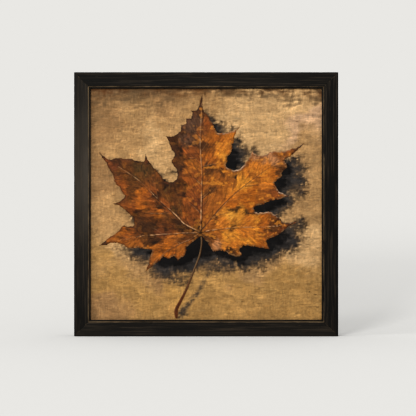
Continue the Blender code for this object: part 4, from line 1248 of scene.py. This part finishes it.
ground_piece.data.materials.append(oil_paint("ground_oil", (300, 300, 760), 0.05 * MM, 0.62, 0.85, 0.20))
leaf_piece.data.materials.append(oil_paint("leaf_oil", (420, 420, 640), 0.02 * MM, 0.42, 0.66, 0.32))
stem_piece.data.materials.append(oil_paint("stem_oil", (600, 600, 200), 0.01 * MM, 0.42, 0.66, 0.28))
print("threads press through every", round(1000 * WAVE_LENGTH / PRESSED_THREADS, 2), "mm")

# %% [markdown]
# ## The black moulding
#
# Each rail is planed to one section: a flat face, a step down to a narrow lip, and a rabbet behind it
# that the canvas drops into. Two saw cuts at 45 degrees end it. We sweep that section along each side,
# with the arrises rounded over as sanding leaves them. Then we roughen the face along the grain and press
# in the few dents that an old frame gathers. Where hands and cloths rub most, at the step and the mitres,
# black has worn through.

# %% The rail's section, and what handling did to it
FRAME_WIDTH = cad_high.x - cad_low.x
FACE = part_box("frame_rail_bottom")[0].y
RAIL_SECTION = np.array([
    # millimetres in from the outer side, millimetres behind the face
    (0, 30), (0, 24), (0, 18), (0, 12), (0, 8), (0, 5), (0, 3), (0, 1.8), (0, 1.0), (0.07, 0.55), (0.24, 0.2),
    (0.6, 0.03), (1.2, 0), (2.4, 0), (3.6, 0), (4.8, 0), (6.0, 0), (7.2, 0), (8.4, 0), (9.6, 0), (10.8, 0),
    (12.0, 0), (13.2, 0), (14.4, 0), (15.6, 0), (16.7, 0), (17.6, 0.03), (18.0, 0.18), (18.2, 0.6),
    (18.35, 1.2), (18.5, 1.72), (18.7, 1.84), (19.0, 1.88), (19.4, 1.95), (19.8, 2.06), (20.2, 2.28),
    (20.42, 2.62), (20.5, 3.1), (20.5, 4.4), (20.5, 6.2), (17, 6.2), (13.5, 6.2), (13.5, 14), (13.5, 22),
    (13.5, 30), (7, 30),
]) * MM
STATION = 1.2 * MM
# how far in from the outer side the step begins, and the lip below it
STEP_IN = 18.0 * MM
LIP_IN = 18.5 * MM
print("the rail's section has", len(RAIL_SECTION), "points")


# %% Smooth noise at any place
def fractal(u, v, seed, octaves=4):
    """Smooth noise from -1 to 1 at any (u, v), one blotch to a unit."""
    total, weight = 0.0, 0.0
    for octave in range(octaves):
        scale, share = 2.0**octave, 0.5**octave
        a, b = u * scale + 7.3 * octave, v * scale - 3.1 * octave
        i, j = np.floor(a), np.floor(b)
        fa, fb = a - i, b - j
        fa, fb = fa * fa * (3 - 2 * fa), fb * fb * (3 - 2 * fb)

        def knot(p, q):
            mixed = np.sin(p * 127.1 + q * 311.7 + seed * 74.7) * 43758.5453
            return mixed - np.floor(mixed)

        low = knot(i, j) * (1 - fa) + knot(i + 1, j) * fa
        high = knot(i, j + 1) * (1 - fa) + knot(i + 1, j + 1) * fa
        total = total + share * (low * (1 - fb) + high * fb)
        weight += share
    return 2 * total / weight - 1


# %% Turn, painted sheen, wear and dents of each rail
SIDES = {
    # turn in degrees, painted sheen (the rail lighter where the lamp from the left falls), how worn the step
    # is
    "bottom": (0.0, 0.14, 1.0),
    "right": (90.0, 0.0, 0.7),
    "top": (180.0, 0.10, 1.0),
    "left": (270.0, 0.82, 1.0),
}
DENTS = {
    # along the rail and in from its outer side, size along, size across, depth, all in millimetres
    "bottom": [(-68.5, 16.7, 1.6, 1.4, 0.9), (34, 9.0, 2.4, 0.8, 0.12), (101, 5.0, 3.0, 0.9, 0.10)],
    "right": [(11.3, 20.2, 1.8, 0.9, 0.7), (-70, 8.0, 2.0, 0.9, 0.12)],
    "top": [(40, 1.0, 2.5, 0.8, 0.25), (-96, 12.0, 4.0, 0.8, 0.10)],
    "left": [(-19.3, 1.4, 1.6, 1.2, 0.5), (62, 17.2, 1.4, 0.8, 0.25), (-118, 6.0, 3.0, 0.8, 0.12)],
}
print(sum(len(dents) for dents in DENTS.values()), "dents")


# %% Where the stain is rubbed, and where painted sheen lies
def worn_places(seed, step_wear, u, along, depth, from_mitre, is_front, nicks):
    """How far the stain is rubbed through, from 0 to 1: at the step, the outer edge and the mitres."""
    step = hill(u - STEP_IN, 0.42 * MM) * (depth < 2 * MM) * step_wear
    patchy = 0.5 + 0.5 * fractal(along / (26 * MM), 0 * u, seed + 2, 3)
    step = step * np.clip(0.15 + 1.3 * patchy, 0, 1.1)
    edge = hill(u, 0.5 * MM) * is_front * nicks * 1.2
    mitre = hill(from_mitre, 0.5 * MM) * is_front
    mitre = mitre * np.clip(1.2 * fractal(u / (5 * MM), 0 * along, seed + 4), 0, 1)
    return np.clip(np.maximum.reduce([step, 0.6 * edge, 0.9 * mitre]), 0, 1)


def painted_sheen_places(side, u, along, is_front):
    """Painted sheen, lighter where the lamp from the left falls; on the left rail (up is -along) most is just
    above the middle.
    """
    inner_sheen = hill(along + 42 * MM, 90 * MM) * (0.85 + 0.35 * np.clip((u - 8 * MM) / (9 * MM), 0, 1))
    outer_sheen = 0.6 + 0.9 * np.clip(1 - u / (9 * MM), 0, 1) + 0 * along
    sheen_here = SIDES[side][1] * (outer_sheen if side == "bottom" else inner_sheen) * is_front
    return sheen_here * np.clip(1 - 0.85 * (u > LIP_IN), 0, 1) * np.clip(u / (1.6 * MM), 0.2, 1)


# %% Turn a rail to its side
def turned(points, degrees):
    """The points of the bottom rail, turned round the frame's middle."""
    middle_x, middle_z = (cad_low.x + cad_high.x) / 2, (cad_low.z + cad_high.z) / 2
    angle = math.radians(degrees)
    x, z = points[..., 0].copy(), points[..., 2] - middle_z
    points[..., 0] = middle_x + x * math.cos(angle) - z * math.sin(angle)
    points[..., 2] = middle_z + x * math.sin(angle) + z * math.cos(angle)
    return points


# %% Sweep one rail
def sweep_rail(side):
    """One rail as it lies at the bottom of the frame, then turned to its side of the frame."""
    turn, _, step_wear = SIDES[side]
    seed = len(side) * 3.7
    ends = np.array([0, 0.25, 0.7, 1.4]) * MM
    middle = np.linspace(2.4 * MM, FRAME_WIDTH - 2.4 * MM, round(FRAME_WIDTH / STATION))
    share = np.concatenate([ends, middle, FRAME_WIDTH - ends[::-1]]) / FRAME_WIDTH
    u, depth = RAIL_SECTION[:, 0][None, :], RAIL_SECTION[:, 1][None, :]
    half = FRAME_WIDTH / 2 - u
    along = (2 * share[:, None] - 1) * half
    from_mitre = half - np.abs(along)
    is_front = np.clip(1 - depth / (5 * MM), 0, 1)
    girth = np.concatenate([[0], np.cumsum(np.linalg.norm(np.diff(RAIL_SECTION, axis=0), axis=1))])[None, :]
    grain = fractal(along / (16 * MM), girth / (0.9 * MM), seed)
    grain = grain + 0.5 * fractal(along / (3 * MM), girth / MM, seed + 5)
    sink = 0.035 * MM * grain * (0.3 + 0.7 * is_front)
    arris = hill(u, 0.7 * MM) + hill(u - STEP_IN, 0.5 * MM)
    nicks = np.clip(fractal(along / (5 * MM), u / (2 * MM), seed + 9) - 0.15, 0, 1)
    sink = sink + is_front * arris * nicks * 0.55 * MM
    sink = sink + is_front * 0.16 * MM * hill(from_mitre, 0.35 * MM)
    hollow = np.zeros_like(sink)
    for at, inset, long, wide, deep in DENTS[side]:
        near = ((along - at * MM) / (long * MM)) ** 2 + ((u - inset * MM) / (wide * MM)) ** 2
        hollow = hollow + deep * np.exp(-near)
    sink = sink + is_front * hollow * MM
    side_in = (0.03 * MM * grain * (u < 0.01 * MM)) + is_front * arris * nicks * 0.18 * MM * (u < 5 * MM)
    points = np.stack([along + 0 * u, FACE + depth + sink, cad_low.z + u + side_in], axis=-1)
    count, ring = along.shape
    points = turned(points, turn)
    index = np.arange(count * ring).reshape(count, ring)
    wrapped = np.roll(index, -1, axis=1)
    quads = np.stack([index[:-1], index[1:], wrapped[1:], wrapped[:-1]], axis=-1).reshape(-1, 4)
    caps = [tuple(int(i) for i in index[0]), tuple(int(i) for i in index[-1][::-1])]
    made = make_piece(f"moulding_{side}", points.reshape(-1, 3), [*quads.tolist(), *caps],
                      [f"frame_rail_{side}"])
    worn = worn_places(seed, step_wear, u, along, depth, from_mitre, is_front, nicks)
    store(made, "worn", worn.ravel())
    store(made, "painted_sheen", painted_sheen_places(side, u, along, is_front).ravel())
    places_on = np.stack([along + 0 * u, girth + 0 * along, np.full_like(along, seed)], axis=-1)
    store(made, "grain_at", places_on.reshape(-1, 3))
    store(made, "dent", np.clip(hollow, 0, 1).ravel())
    return made


# %% Sweep all four
rails = [sweep_rail(side) for side in SIDES]
print(len(rails), "rails")

# %% [markdown]
# ## Black stain, rubbed back
#
# The finish is a thin black stain under wax. Brushed along the grain, it leaves fine streaks. Painted sheen
# lightens the black where the lamp from the left falls, most on the left rail. At the rubbed edges the stain
# is gone and tan wood shows.

# %% The black finish
def streaks(tree, vector, long, fine, detail=4.0):
    """Noise drawn out along the first axis, for grain and brush marks. Both sizes are marks to a metre."""
    drawn = add(tree, "Mapping", {"Vector": vector, "Scale": (long, fine, 1.0)}).outputs["Vector"]
    return speckle(tree, drawn, 1.0, detail, 0.6)


black, tree, shader = start_material("rubbed_black", Specular_IOR_Level=0.06)
grain_at = stored(tree, "grain_at", "Vector")
fine_streaks = streaks(tree, grain_at, 25.0, 1400.0)
broad_streaks = streaks(tree, grain_at, 9.0, 260.0, 3.0)
cloud = speckle(tree, places(tree), 14.0, 4.0)
stain = blend(tree, between(tree, fine_streaks, 0.35, 0.75), rgba((6, 6, 5)), rgba((22, 19, 15)))
stain = blend(tree, between(tree, broad_streaks, 0.40, 0.80, 0.0, 0.5), stain, rgba((7, 6, 6)))
# painted sheen: the black is lightened towards brown-grey where the lamp from the left falls
sheen_share = calc(tree, "MULTIPLY", stored(tree, "painted_sheen"), between(tree, cloud, 0.25, 0.70, 0.45, 1.25))
sheen_share = calc(tree, "MULTIPLY", sheen_share, between(tree, fine_streaks, 0.25, 0.70, 0.65, 1.15))
stain = blend(tree, sheen_share, stain, rgba((64, 57, 49)))
sparse = between(tree, streaks(tree, grain_at, 16.0, 620.0, 5.0), 0.52, 0.70, 0.0, 0.60)
stain = blend(tree, sparse, stain, rgba((66, 56, 45)))
patchy_wear = between(tree, streaks(tree, grain_at, 90.0, 900.0), 0.3, 0.7, -0.55, 0.10)
rubbed = calc(tree, "ADD", stored(tree, "worn"), patchy_wear)
wood = blend(tree, broad_streaks, rgba((152, 128, 94)), rgba((100, 80, 56)))
stain = blend(tree, between(tree, rubbed, 0.05, 0.60, 0.0, 0.85), stain, wood)
# dents painted darker still: painted shade in their hollows
stain = blend(tree, between(tree, stored(tree, "dent"), 0.2, 0.8, 0.0, 0.8), stain, rgba((8, 7, 6)))
tree.links.new(stain, shader.inputs["Base Color"])
tree.links.new(between(tree, fine_streaks, 0.3, 0.7, 0.48, 0.68), shader.inputs["Roughness"])
relief(tree, shader, fine_streaks, 0.12 * MM)
for rail in rails:
    rail.data.materials.append(black)
print("the black finish has", len(tree.nodes), "nodes")

# %% [markdown]
# ## The canvas
#
# The cloth is one square piece. It is pulled over the bars, turned round their edges, turned in at the
# back and stapled, from the middle of each side outwards. At the corners the spare cloth is folded under
# and makes a double layer along a slanted crease. Between staples, pulled cloth draws into shallow
# scallops. We model the middle of the cloth as square rings, from the middle of the picture out to the
# turned-in edge, and then thicken it.

# %% Fold a sheet of cloth round the bars
cloth_low, cloth_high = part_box("canvas")
CLOTH = 0.8 * MM
HALF = (cloth_high.x - cloth_low.x) / 2 - CLOTH / 2
FLAP = 26 * MM
CORNER = 1.5 * MM
front_cloth, back_cloth = cloth_low.y + CLOTH / 2, cloth_high.y - CLOTH / 2
staple_places = [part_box(f"staple_bottom_{n}") for n in (1, 2, 3, 4)]
staple_places = [(low.x + high.x) / 2 for low, high in staple_places]
print("the cloth is", round(2000 * HALF, 1), "mm wide on its front")


# %% The cloth from its middle to its edge
def cloth_section():
    """The cloth from the picture's middle to its turned-in edge: half width and depth, and cloth so far."""
    out = [(r, front_cloth) for r in np.linspace(HALF * 0.02, HALF - CORNER, 36)]
    out += [
        (HALF - CORNER + CORNER * math.sin(a), front_cloth + CORNER - CORNER * math.cos(a))
        for a in np.radians([22, 45, 67, 90])
    ]
    out += [(HALF, y) for y in np.linspace(front_cloth + 2.6 * MM, back_cloth - 2.2 * MM, 8)]
    out += [(HALF - 0.8 * MM + 0.8 * MM * math.cos(a), back_cloth - 0.8 * MM + 0.8 * MM * math.sin(a))
            for a in np.radians([0, 30, 60, 90])]
    out += [(HALF - r, back_cloth) for r in np.linspace(2.2 * MM, FLAP - CLOTH / 2, 17)]
    out = np.array(out)
    run = HALF * 0.02 + np.concatenate([[0], np.cumsum(np.linalg.norm(np.diff(out, axis=0), axis=1))])
    return out, run


section, cloth_run = cloth_section()
print("from the middle to the edge there are", round(1000 * cloth_run[-1], 1), "mm of cloth")

# %% Square rings of cloth
PER_SIDE = 104
ring_share = (np.arange(PER_SIDE) / PER_SIDE) * 2 - 1
ring_share = np.sign(ring_share) * np.abs(ring_share) ** 0.85
side_a = np.stack([ring_share, np.full(PER_SIDE, -1.0)], 1)
ring = np.concatenate([side_a, np.stack([-side_a[:, 1], side_a[:, 0]], 1), -side_a,
                       np.stack([side_a[:, 1], -side_a[:, 0]], 1)])
half_widths = section[:, 0][:, None]
cloth_x, cloth_z = ring[None, :, 0] * half_widths, ring[None, :, 1] * half_widths
cloth_y = np.repeat(section[:, 1][:, None], len(ring), axis=1)
level = np.abs(ring[:, 1]) >= 1 - 1e-9
along_side = np.where(level, cloth_x, cloth_z)
on_flap = np.clip((HALF - half_widths) / (4 * MM), 0, 1) * (cloth_y > back_cloth - MM)
inset_here = HALF - half_widths
print(len(section), "rings of", len(ring), "points")

# %% Pull the cloth at its staples, and fold its corners
pull = np.zeros_like(along_side)
for place in staple_places:
    pull = np.maximum(pull, hill(along_side - place, 11 * MM))
scallop = (1 - pull) * np.clip(inset_here / FLAP, 0, 1) ** 2 * on_flap
inner = 1 + 1.7 * MM * scallop / np.maximum(half_widths, 0.1)
ripple = fractal(along_side / (15 * MM), inset_here / (30 * MM), 3.0, 3)
lift = on_flap * (0.16 * MM + 0.16 * MM * ripple) * (1 - pull)
to_corner = HALF - np.abs(along_side)
fold = np.clip((to_corner - inset_here) / (0.8 * MM), 0, 1)
fold = fold * np.clip((inset_here * 1.75 + 3 * MM - to_corner) / (0.9 * MM), 0, 1)
lift = lift + on_flap * fold * 0.42 * MM
weft = 0.03 * MM * fractal(cloth_x / (8 * MM), cloth_z / (8 * MM), 8.0, 3)
cloth_points = np.stack([
    (cloth_low.x + cloth_high.x) / 2 + cloth_x * inner,
    cloth_y + np.minimum(lift, 0.55 * MM) + weft * (cloth_y < front_cloth + MM),
    (cloth_low.z + cloth_high.z) / 2 + cloth_z * inner,
], axis=-1)
print("the folds lift it by up to", round(1000 * float(lift.max()), 2), "mm")

# %% Make the cloth
rows_of, across_of = along_side.shape
index = np.arange(rows_of * across_of).reshape(rows_of, across_of)
wrapped = np.roll(index, -1, axis=1)
cloth_faces = np.stack([index[:-1], wrapped[:-1], wrapped[1:], index[1:]], axis=-1).reshape(-1, 4).tolist()
cloth_faces.append(tuple(int(i) for i in index[0][::-1]))
CLOTH_CREASE = math.radians(75)
cloth_piece = make_piece("stretched_canvas", cloth_points.reshape(-1, 3), cloth_faces,
                         ["canvas"], CLOTH_CREASE)
flat_x = np.where(level, cloth_x, np.sign(ring[:, 0]) * cloth_run[:, None])
flat_z = np.where(level, np.sign(ring[:, 1]) * cloth_run[:, None], cloth_z)
flat_spots = np.stack([flat_x, flat_z, on_flap * fold + 0 * cloth_x], axis=-1)
store(cloth_piece, "flat_at", flat_spots.reshape(-1, 3))
thicken = cloth_piece.modifiers.new("cloth", "SOLIDIFY")
thicken.thickness = CLOTH
thicken.offset = 0

# %% [markdown]
# ## Raw cloth
#
# The back of the canvas was never primed, so it keeps the colour of unbleached cotton. Two sets of
# threads cross, over and under, and here and there a thicker thread shows. Size from the front has
# stained it in places.

# %% The cloth's material
raw, tree, shader = start_material("raw_cotton", Specular_IOR_Level=0.2)
flat_at = stored(tree, "flat_at", "Vector")
THREADS = 200.0
warp, fill = (threads_across(tree, flat_at, THREADS, axis, 0.6) for axis in "XY")
woven = calc(tree, "MULTIPLY", calc(tree, "ADD", warp, fill), 0.5)
slubs = calc(tree, "MAXIMUM", streaks(tree, flat_at, 30.0, 900.0), streaks(tree, flat_at, 900.0, 30.0))
stains = speckle(tree, places(tree), 9.0, 4.0)
cotton = blend(tree, woven, rgba((196, 182, 152)), rgba((230, 220, 196)))
cotton = blend(tree, between(tree, slubs, 0.55, 0.8, 0.0, 0.6), cotton, rgba((240, 232, 212)))
cotton = blend(tree, between(tree, slubs, 0.20, 0.42, 0.5, 0.0), cotton, rgba((176, 160, 128)))
cotton = blend(tree, between(tree, stains, 0.45, 0.75, 0.0, 0.40), cotton, rgba((196, 172, 130)))
tree.links.new(cotton, shader.inputs["Base Color"])
tree.links.new(between(tree, woven, 0.0, 1.0, 0.95, 0.80), shader.inputs["Roughness"])
relief(tree, shader, slubs, 0.10 * MM, relief(tree, shader, woven, 0.18 * MM))
cloth_piece.data.materials.append(raw)
print("the cloth has a thread every", round(1000 * WAVE_LENGTH / THREADS, 2), "mm")

# %% [markdown]
# ## Felt bumpers
#
# Two felt pads keep the bottom rail off the wall. Felt has no weave. It is a mat of short fibres, so its
# edge is soft and its face is pitted. Each pad is turned like a flat cushion and then roughened by noise.

# %% Turn the two pads
PAD_RINGS = [(0.0, 1.0), (0.3, 1.0), (0.55, 0.99), (0.75, 0.965), (0.88, 0.90), (0.96, 0.78), (1.0, 0.55),
             (0.985, 0.25), (0.95, 0.0)]
felt, tree, shader = start_material("felt", Specular_IOR_Level=0.1, Sheen_Weight=0.35, Sheen_Roughness=0.6)
fibres = speckle(tree, places(tree), 2600.0, 6.0, 0.7)
clumps = speckle(tree, places(tree), 420.0, 4.0)
matted = blend(tree, between(tree, fibres, 0.3, 0.7), rgba((52, 36, 27)), rgba((104, 78, 60)))
matted = blend(tree, between(tree, clumps, 0.4, 0.7, 0.0, 0.5), matted, rgba((70, 50, 38)))
tree.links.new(matted, shader.inputs["Base Color"])
tree.links.new(between(tree, clumps, 0.3, 0.7, 0.90, 1.0), shader.inputs["Roughness"])
relief(tree, shader, fibres, 0.3 * MM)
print("felt pads are turned from", len(PAD_RINGS), "rings")

# %% Turn and roughen both
for side in ("left", "right"):
    pad_low, pad_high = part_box(f"wall_bumper_{side}")
    radius, thick = (pad_high.x - pad_low.x) / 2, pad_high.y - pad_low.y
    turns = np.radians(np.arange(0, 360, 6))
    points = [((pad_low.x + pad_high.x) / 2, pad_high.y, (pad_low.z + pad_high.z) / 2)]
    for reach, rise in PAD_RINGS[1:]:
        fuzz = fractal(np.cos(turns) * 3 * reach + rise * 5, np.sin(turns) * 3 * reach, 4.0 + len(side), 4)
        r = radius * (reach - 0.025 + 0.025 * fuzz)
        y = pad_low.y + thick * np.clip(rise - 0.03 + 0.03 * fuzz, 0, 1)
        points += list(zip(points[0][0] + r * np.cos(turns), y, points[0][2] + r * np.sin(turns)))
    around = len(turns)
    faces = [(0, 1 + i, 1 + (i + 1) % around) for i in range(around)]
    for k in range(len(PAD_RINGS) - 2):
        here, beyond = 1 + k * around, 1 + (k + 1) * around
        for i in range(around):
            beside = (i + 1) % around
            faces.append((here + i, beyond + i, beyond + beside, here + beside))
    faces.append(tuple(beyond + i for i in range(around)))
    pad = make_piece(f"felt_pad_{side}", points, faces, [f"wall_bumper_{side}"])
    pad.data.materials.append(felt)

# %% [markdown]
# ## Bare wood
#
# The bars are pine: wide pale bands of spring growth between thin, darker bands of summer growth, which
# run along each bar, and small resin flecks. The keys are beech, which is pinker and closer, with short
# dark flecks.

# %% Pine and beech
def bare_wood(name, run, pale, dark, fleck, bands):
    """Wood whose grain runs along X, Y or Z."""
    made, tree, shader = start_material(name, Specular_IOR_Level=0.25)
    drawn = tuple(0.06 if axis == run else 1.0 for axis in "XYZ")
    spots = places(tree, drawn)
    growth = add(tree, "TexWave", {"Vector": spots, "Scale": bands, "Distortion": 5.0, "Detail": 3.0,
                                   "Detail Scale": 1.4}, wave_type="RINGS", rings_direction="Y",
                 wave_profile="SAW").outputs["Fac"]
    fibres = speckle(tree, places(tree, tuple(25 if axis == run else 1600 for axis in "XYZ")), 1.0, 4.0, 0.65)
    tone = speckle(tree, places(tree), 18.0, 3.0)
    colour = blend(tree, between(tree, growth, 0.45, 1.0), rgba(pale), rgba(dark))
    colour = blend(tree, between(tree, fibres, 0.50, 0.80, 0.0, 0.55), colour, rgba(fleck))
    colour = blend(tree, between(tree, tone, 0.35, 0.70, 0.0, 0.30), colour, rgba(dark))
    tree.links.new(colour, shader.inputs["Base Color"])
    tree.links.new(between(tree, fibres, 0.3, 0.7, 0.62, 0.82), shader.inputs["Roughness"])
    relief(tree, shader, fibres, 0.12 * MM)
    return made


def finish_nodes(material, names):
    """Gives construction parts, whose shapes are right already, a real finish."""
    for name in names:
        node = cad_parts[name]
        if node.data.materials:
            for place in range(len(node.data.materials)):
                node.data.materials[place] = material
        else:
            node.data.materials.append(material)


PINE = {"pale": (222, 189, 140), "dark": (186, 140, 88), "fleck": (164, 116, 68), "bands": 70.0}
BEECH = {"pale": (206, 168, 130), "dark": (180, 136, 100), "fleck": (138, 96, 66), "bands": 150.0}
finish_nodes(bare_wood("pine_level", "X", **PINE), ["stretcher_bar_bottom", "stretcher_bar_top"])
finish_nodes(bare_wood("pine_upright", "Z", **PINE), ["stretcher_bar_left", "stretcher_bar_right"])
finish_nodes(bare_wood("beech", "X", **BEECH), [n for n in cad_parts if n.startswith("corner_key")])
print("pine bands every", round(1000 * WAVE_LENGTH / PINE["bands"], 1), "mm")

# %% [markdown]
# ## Plated steel
#
# The fittings are stamped from steel sheet and plated, zinc for most of them and brass for the hanger.
# Plating is bright but never even: it is cloudy from the bath, scratched in the box, and dull where
# fingers left salt.

# %% Zinc and brass
def plated(name, bright, dull):
    """Plated steel that goes from bright to dull in clouds."""
    made, tree, shader = start_material(name, Metallic=1.0)
    cloudy = speckle(tree, places(tree), 160.0, 4.0, 0.6)
    scratches = speckle(tree, places(tree, (4000, 300, 260)), 1.0, 4.0, 0.6)
    colour = blend(tree, between(tree, cloudy, 0.35, 0.70), rgba(bright), rgba(dull))
    colour = blend(tree, between(tree, scratches, 0.55, 0.75, 0.0, 0.35), colour, rgba(bright))
    tree.links.new(colour, shader.inputs["Base Color"])
    tree.links.new(between(tree, cloudy, 0.3, 0.7, 0.28, 0.48), shader.inputs["Roughness"])
    relief(tree, shader, scratches, 0.03 * MM)
    return made


zinc = plated("zinc_plate", (196, 199, 202), (142, 145, 148))
brass = plated("brass_plate", (204, 168, 104), (150, 116, 66))
ZINC_PARTS = ("v_nail", "staple", "offset_clip", "clip_screw")
finish_nodes(zinc, [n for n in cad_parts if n.startswith(ZINC_PARTS)])
finish_nodes(brass, ["sawtooth_hanger", "hanger_nail_left", "hanger_nail_right"])
print(sum(n.startswith(ZINC_PARTS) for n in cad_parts), "parts are plated with zinc")

# %% [markdown]
# ## Stage, light and camera
#
# A pale floor and an even pale surround keep attention on the picture. The floor rises gently behind it,
# so it fills the view with no horizon, and it only shows the shadows that fall on it. Two soft round
# lamps stand to the left and in front, a little above the picture, so that ridges of paint show and the
# shadow falls to the right. The surround looks brighter than it lights, which keeps the black frame
# black. The camera stands straight in front with a long lens, which keeps the square square.

# %% A floor that rises behind
# metres: how far the floor runs, how it bends up behind the picture, and how little it lies below the rail
FLOOR = 18.0
SLOPE = math.radians(7.5)
BEND = 0.4
UNDER_FOOT = 0.2 * MM
behind = cad_high.y + 0.01
bend = [(behind + BEND * a / SLOPE, BEND / 2 * a * a / SLOPE) for a in np.linspace(0, SLOPE, 7)]
sweep = [(-FLOOR, 0.0), *bend, (bend[-1][0] + FLOOR, bend[-1][1] + FLOOR * math.tan(SLOPE))]
backdrop_points = [(x, y, z + cad_low.z - UNDER_FOOT) for y, z in sweep for x in (-FLOOR, FLOOR)]
backdrop_faces = [(2 * i, 2 * i + 1, 2 * i + 3, 2 * i + 2) for i in range(len(sweep) - 1)]
backdrop_mesh = bpy.data.meshes.new("studio_backdrop")
backdrop_mesh.from_pydata(backdrop_points, [], backdrop_faces)
backdrop_mesh.shade_smooth()
backdrop = bpy.data.objects.new("studio_backdrop", backdrop_mesh)
bpy.context.scene.collection.objects.link(backdrop)
backdrop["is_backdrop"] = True
backdrop.is_shadow_catcher = True
paper, tree, shader = start_material("studio_paper", Roughness=0.9)
shader.inputs["Base Color"].default_value = rgba((236, 235, 231))
backdrop_mesh.materials.append(paper)
print("the floor runs", FLOOR, "m each way")

# %% The surround
world = bpy.data.worlds.new("studio")
bpy.context.scene.world = world
world.use_nodes = True
surround = world.node_tree.nodes["Background"]
surround.inputs["Color"].default_value = rgba((233, 232, 228))
seen = add(world.node_tree, "LightPath", {}).outputs["Is Camera Ray"]
AMBIENT = 0.62
strength = between(world.node_tree, seen, 0.0, 1.0, AMBIENT, 1.0)
world.node_tree.links.new(strength, surround.inputs["Strength"])
print("the surround lights with", AMBIENT, "of what it shows")

# %% Two soft lamps
AIM = Vector((0, 0, 0.17))


def soft_light(name, place, size, power):
    """A round lamp that faces the middle of the picture."""
    lamp = bpy.data.lights.new(name, "AREA")
    lamp.shape = "DISK"
    lamp.size = size
    lamp.energy = power
    made = bpy.data.objects.new(name, lamp)
    bpy.context.scene.collection.objects.link(made)
    made.location = place
    made.rotation_euler = (AIM - Vector(place)).to_track_quat("-Z", "Y").to_euler()
    return made


KEY_PLACE, KEY_SIZE, KEY_POWER = (-1.75, -1.15, 0.72), 0.50, 9.2
SECOND_PLACE, SECOND_SIZE, SECOND_POWER = (-0.50, -1.90, 0.78), 0.45, 15.8
soft_light("key", KEY_PLACE, KEY_SIZE, KEY_POWER)
soft_light("second_key", SECOND_PLACE, SECOND_SIZE, SECOND_POWER)
bpy.context.scene.view_settings.view_transform = "Standard"
print("lamps at", KEY_PLACE, "and", SECOND_PLACE)

# %% The camera
lens = bpy.data.cameras.new("camera")
lens.sensor_width = 36.0
lens.lens = 180.0
camera = bpy.data.objects.new("camera", lens)
bpy.context.scene.collection.objects.link(camera)
VIEW_WIDTH = 0.5258
VIEW_MIDDLE_X, VIEW_MIDDLE_Z = 0.0023, 0.162
camera_away = VIEW_WIDTH * lens.lens / lens.sensor_width
camera.location = (VIEW_MIDDLE_X, cad_low.y - camera_away, VIEW_MIDDLE_Z)
camera.rotation_euler = (math.radians(90), 0, 0)
bpy.context.scene.camera = camera
print("the camera stands", round(camera_away, 2), "m in front of the picture")

# %% [markdown]
# ## Sizes, and the end
#
# The looks must not outgrow the construction model, so we print how far they pass its box at most.

# %% Print how far the looks pass the model's box
new_low, new_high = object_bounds()
past = max(*(cad_low - new_low), *(new_high - cad_high))
print("the looks pass the model's box by", round(1000 * past, 3), "mm at most")
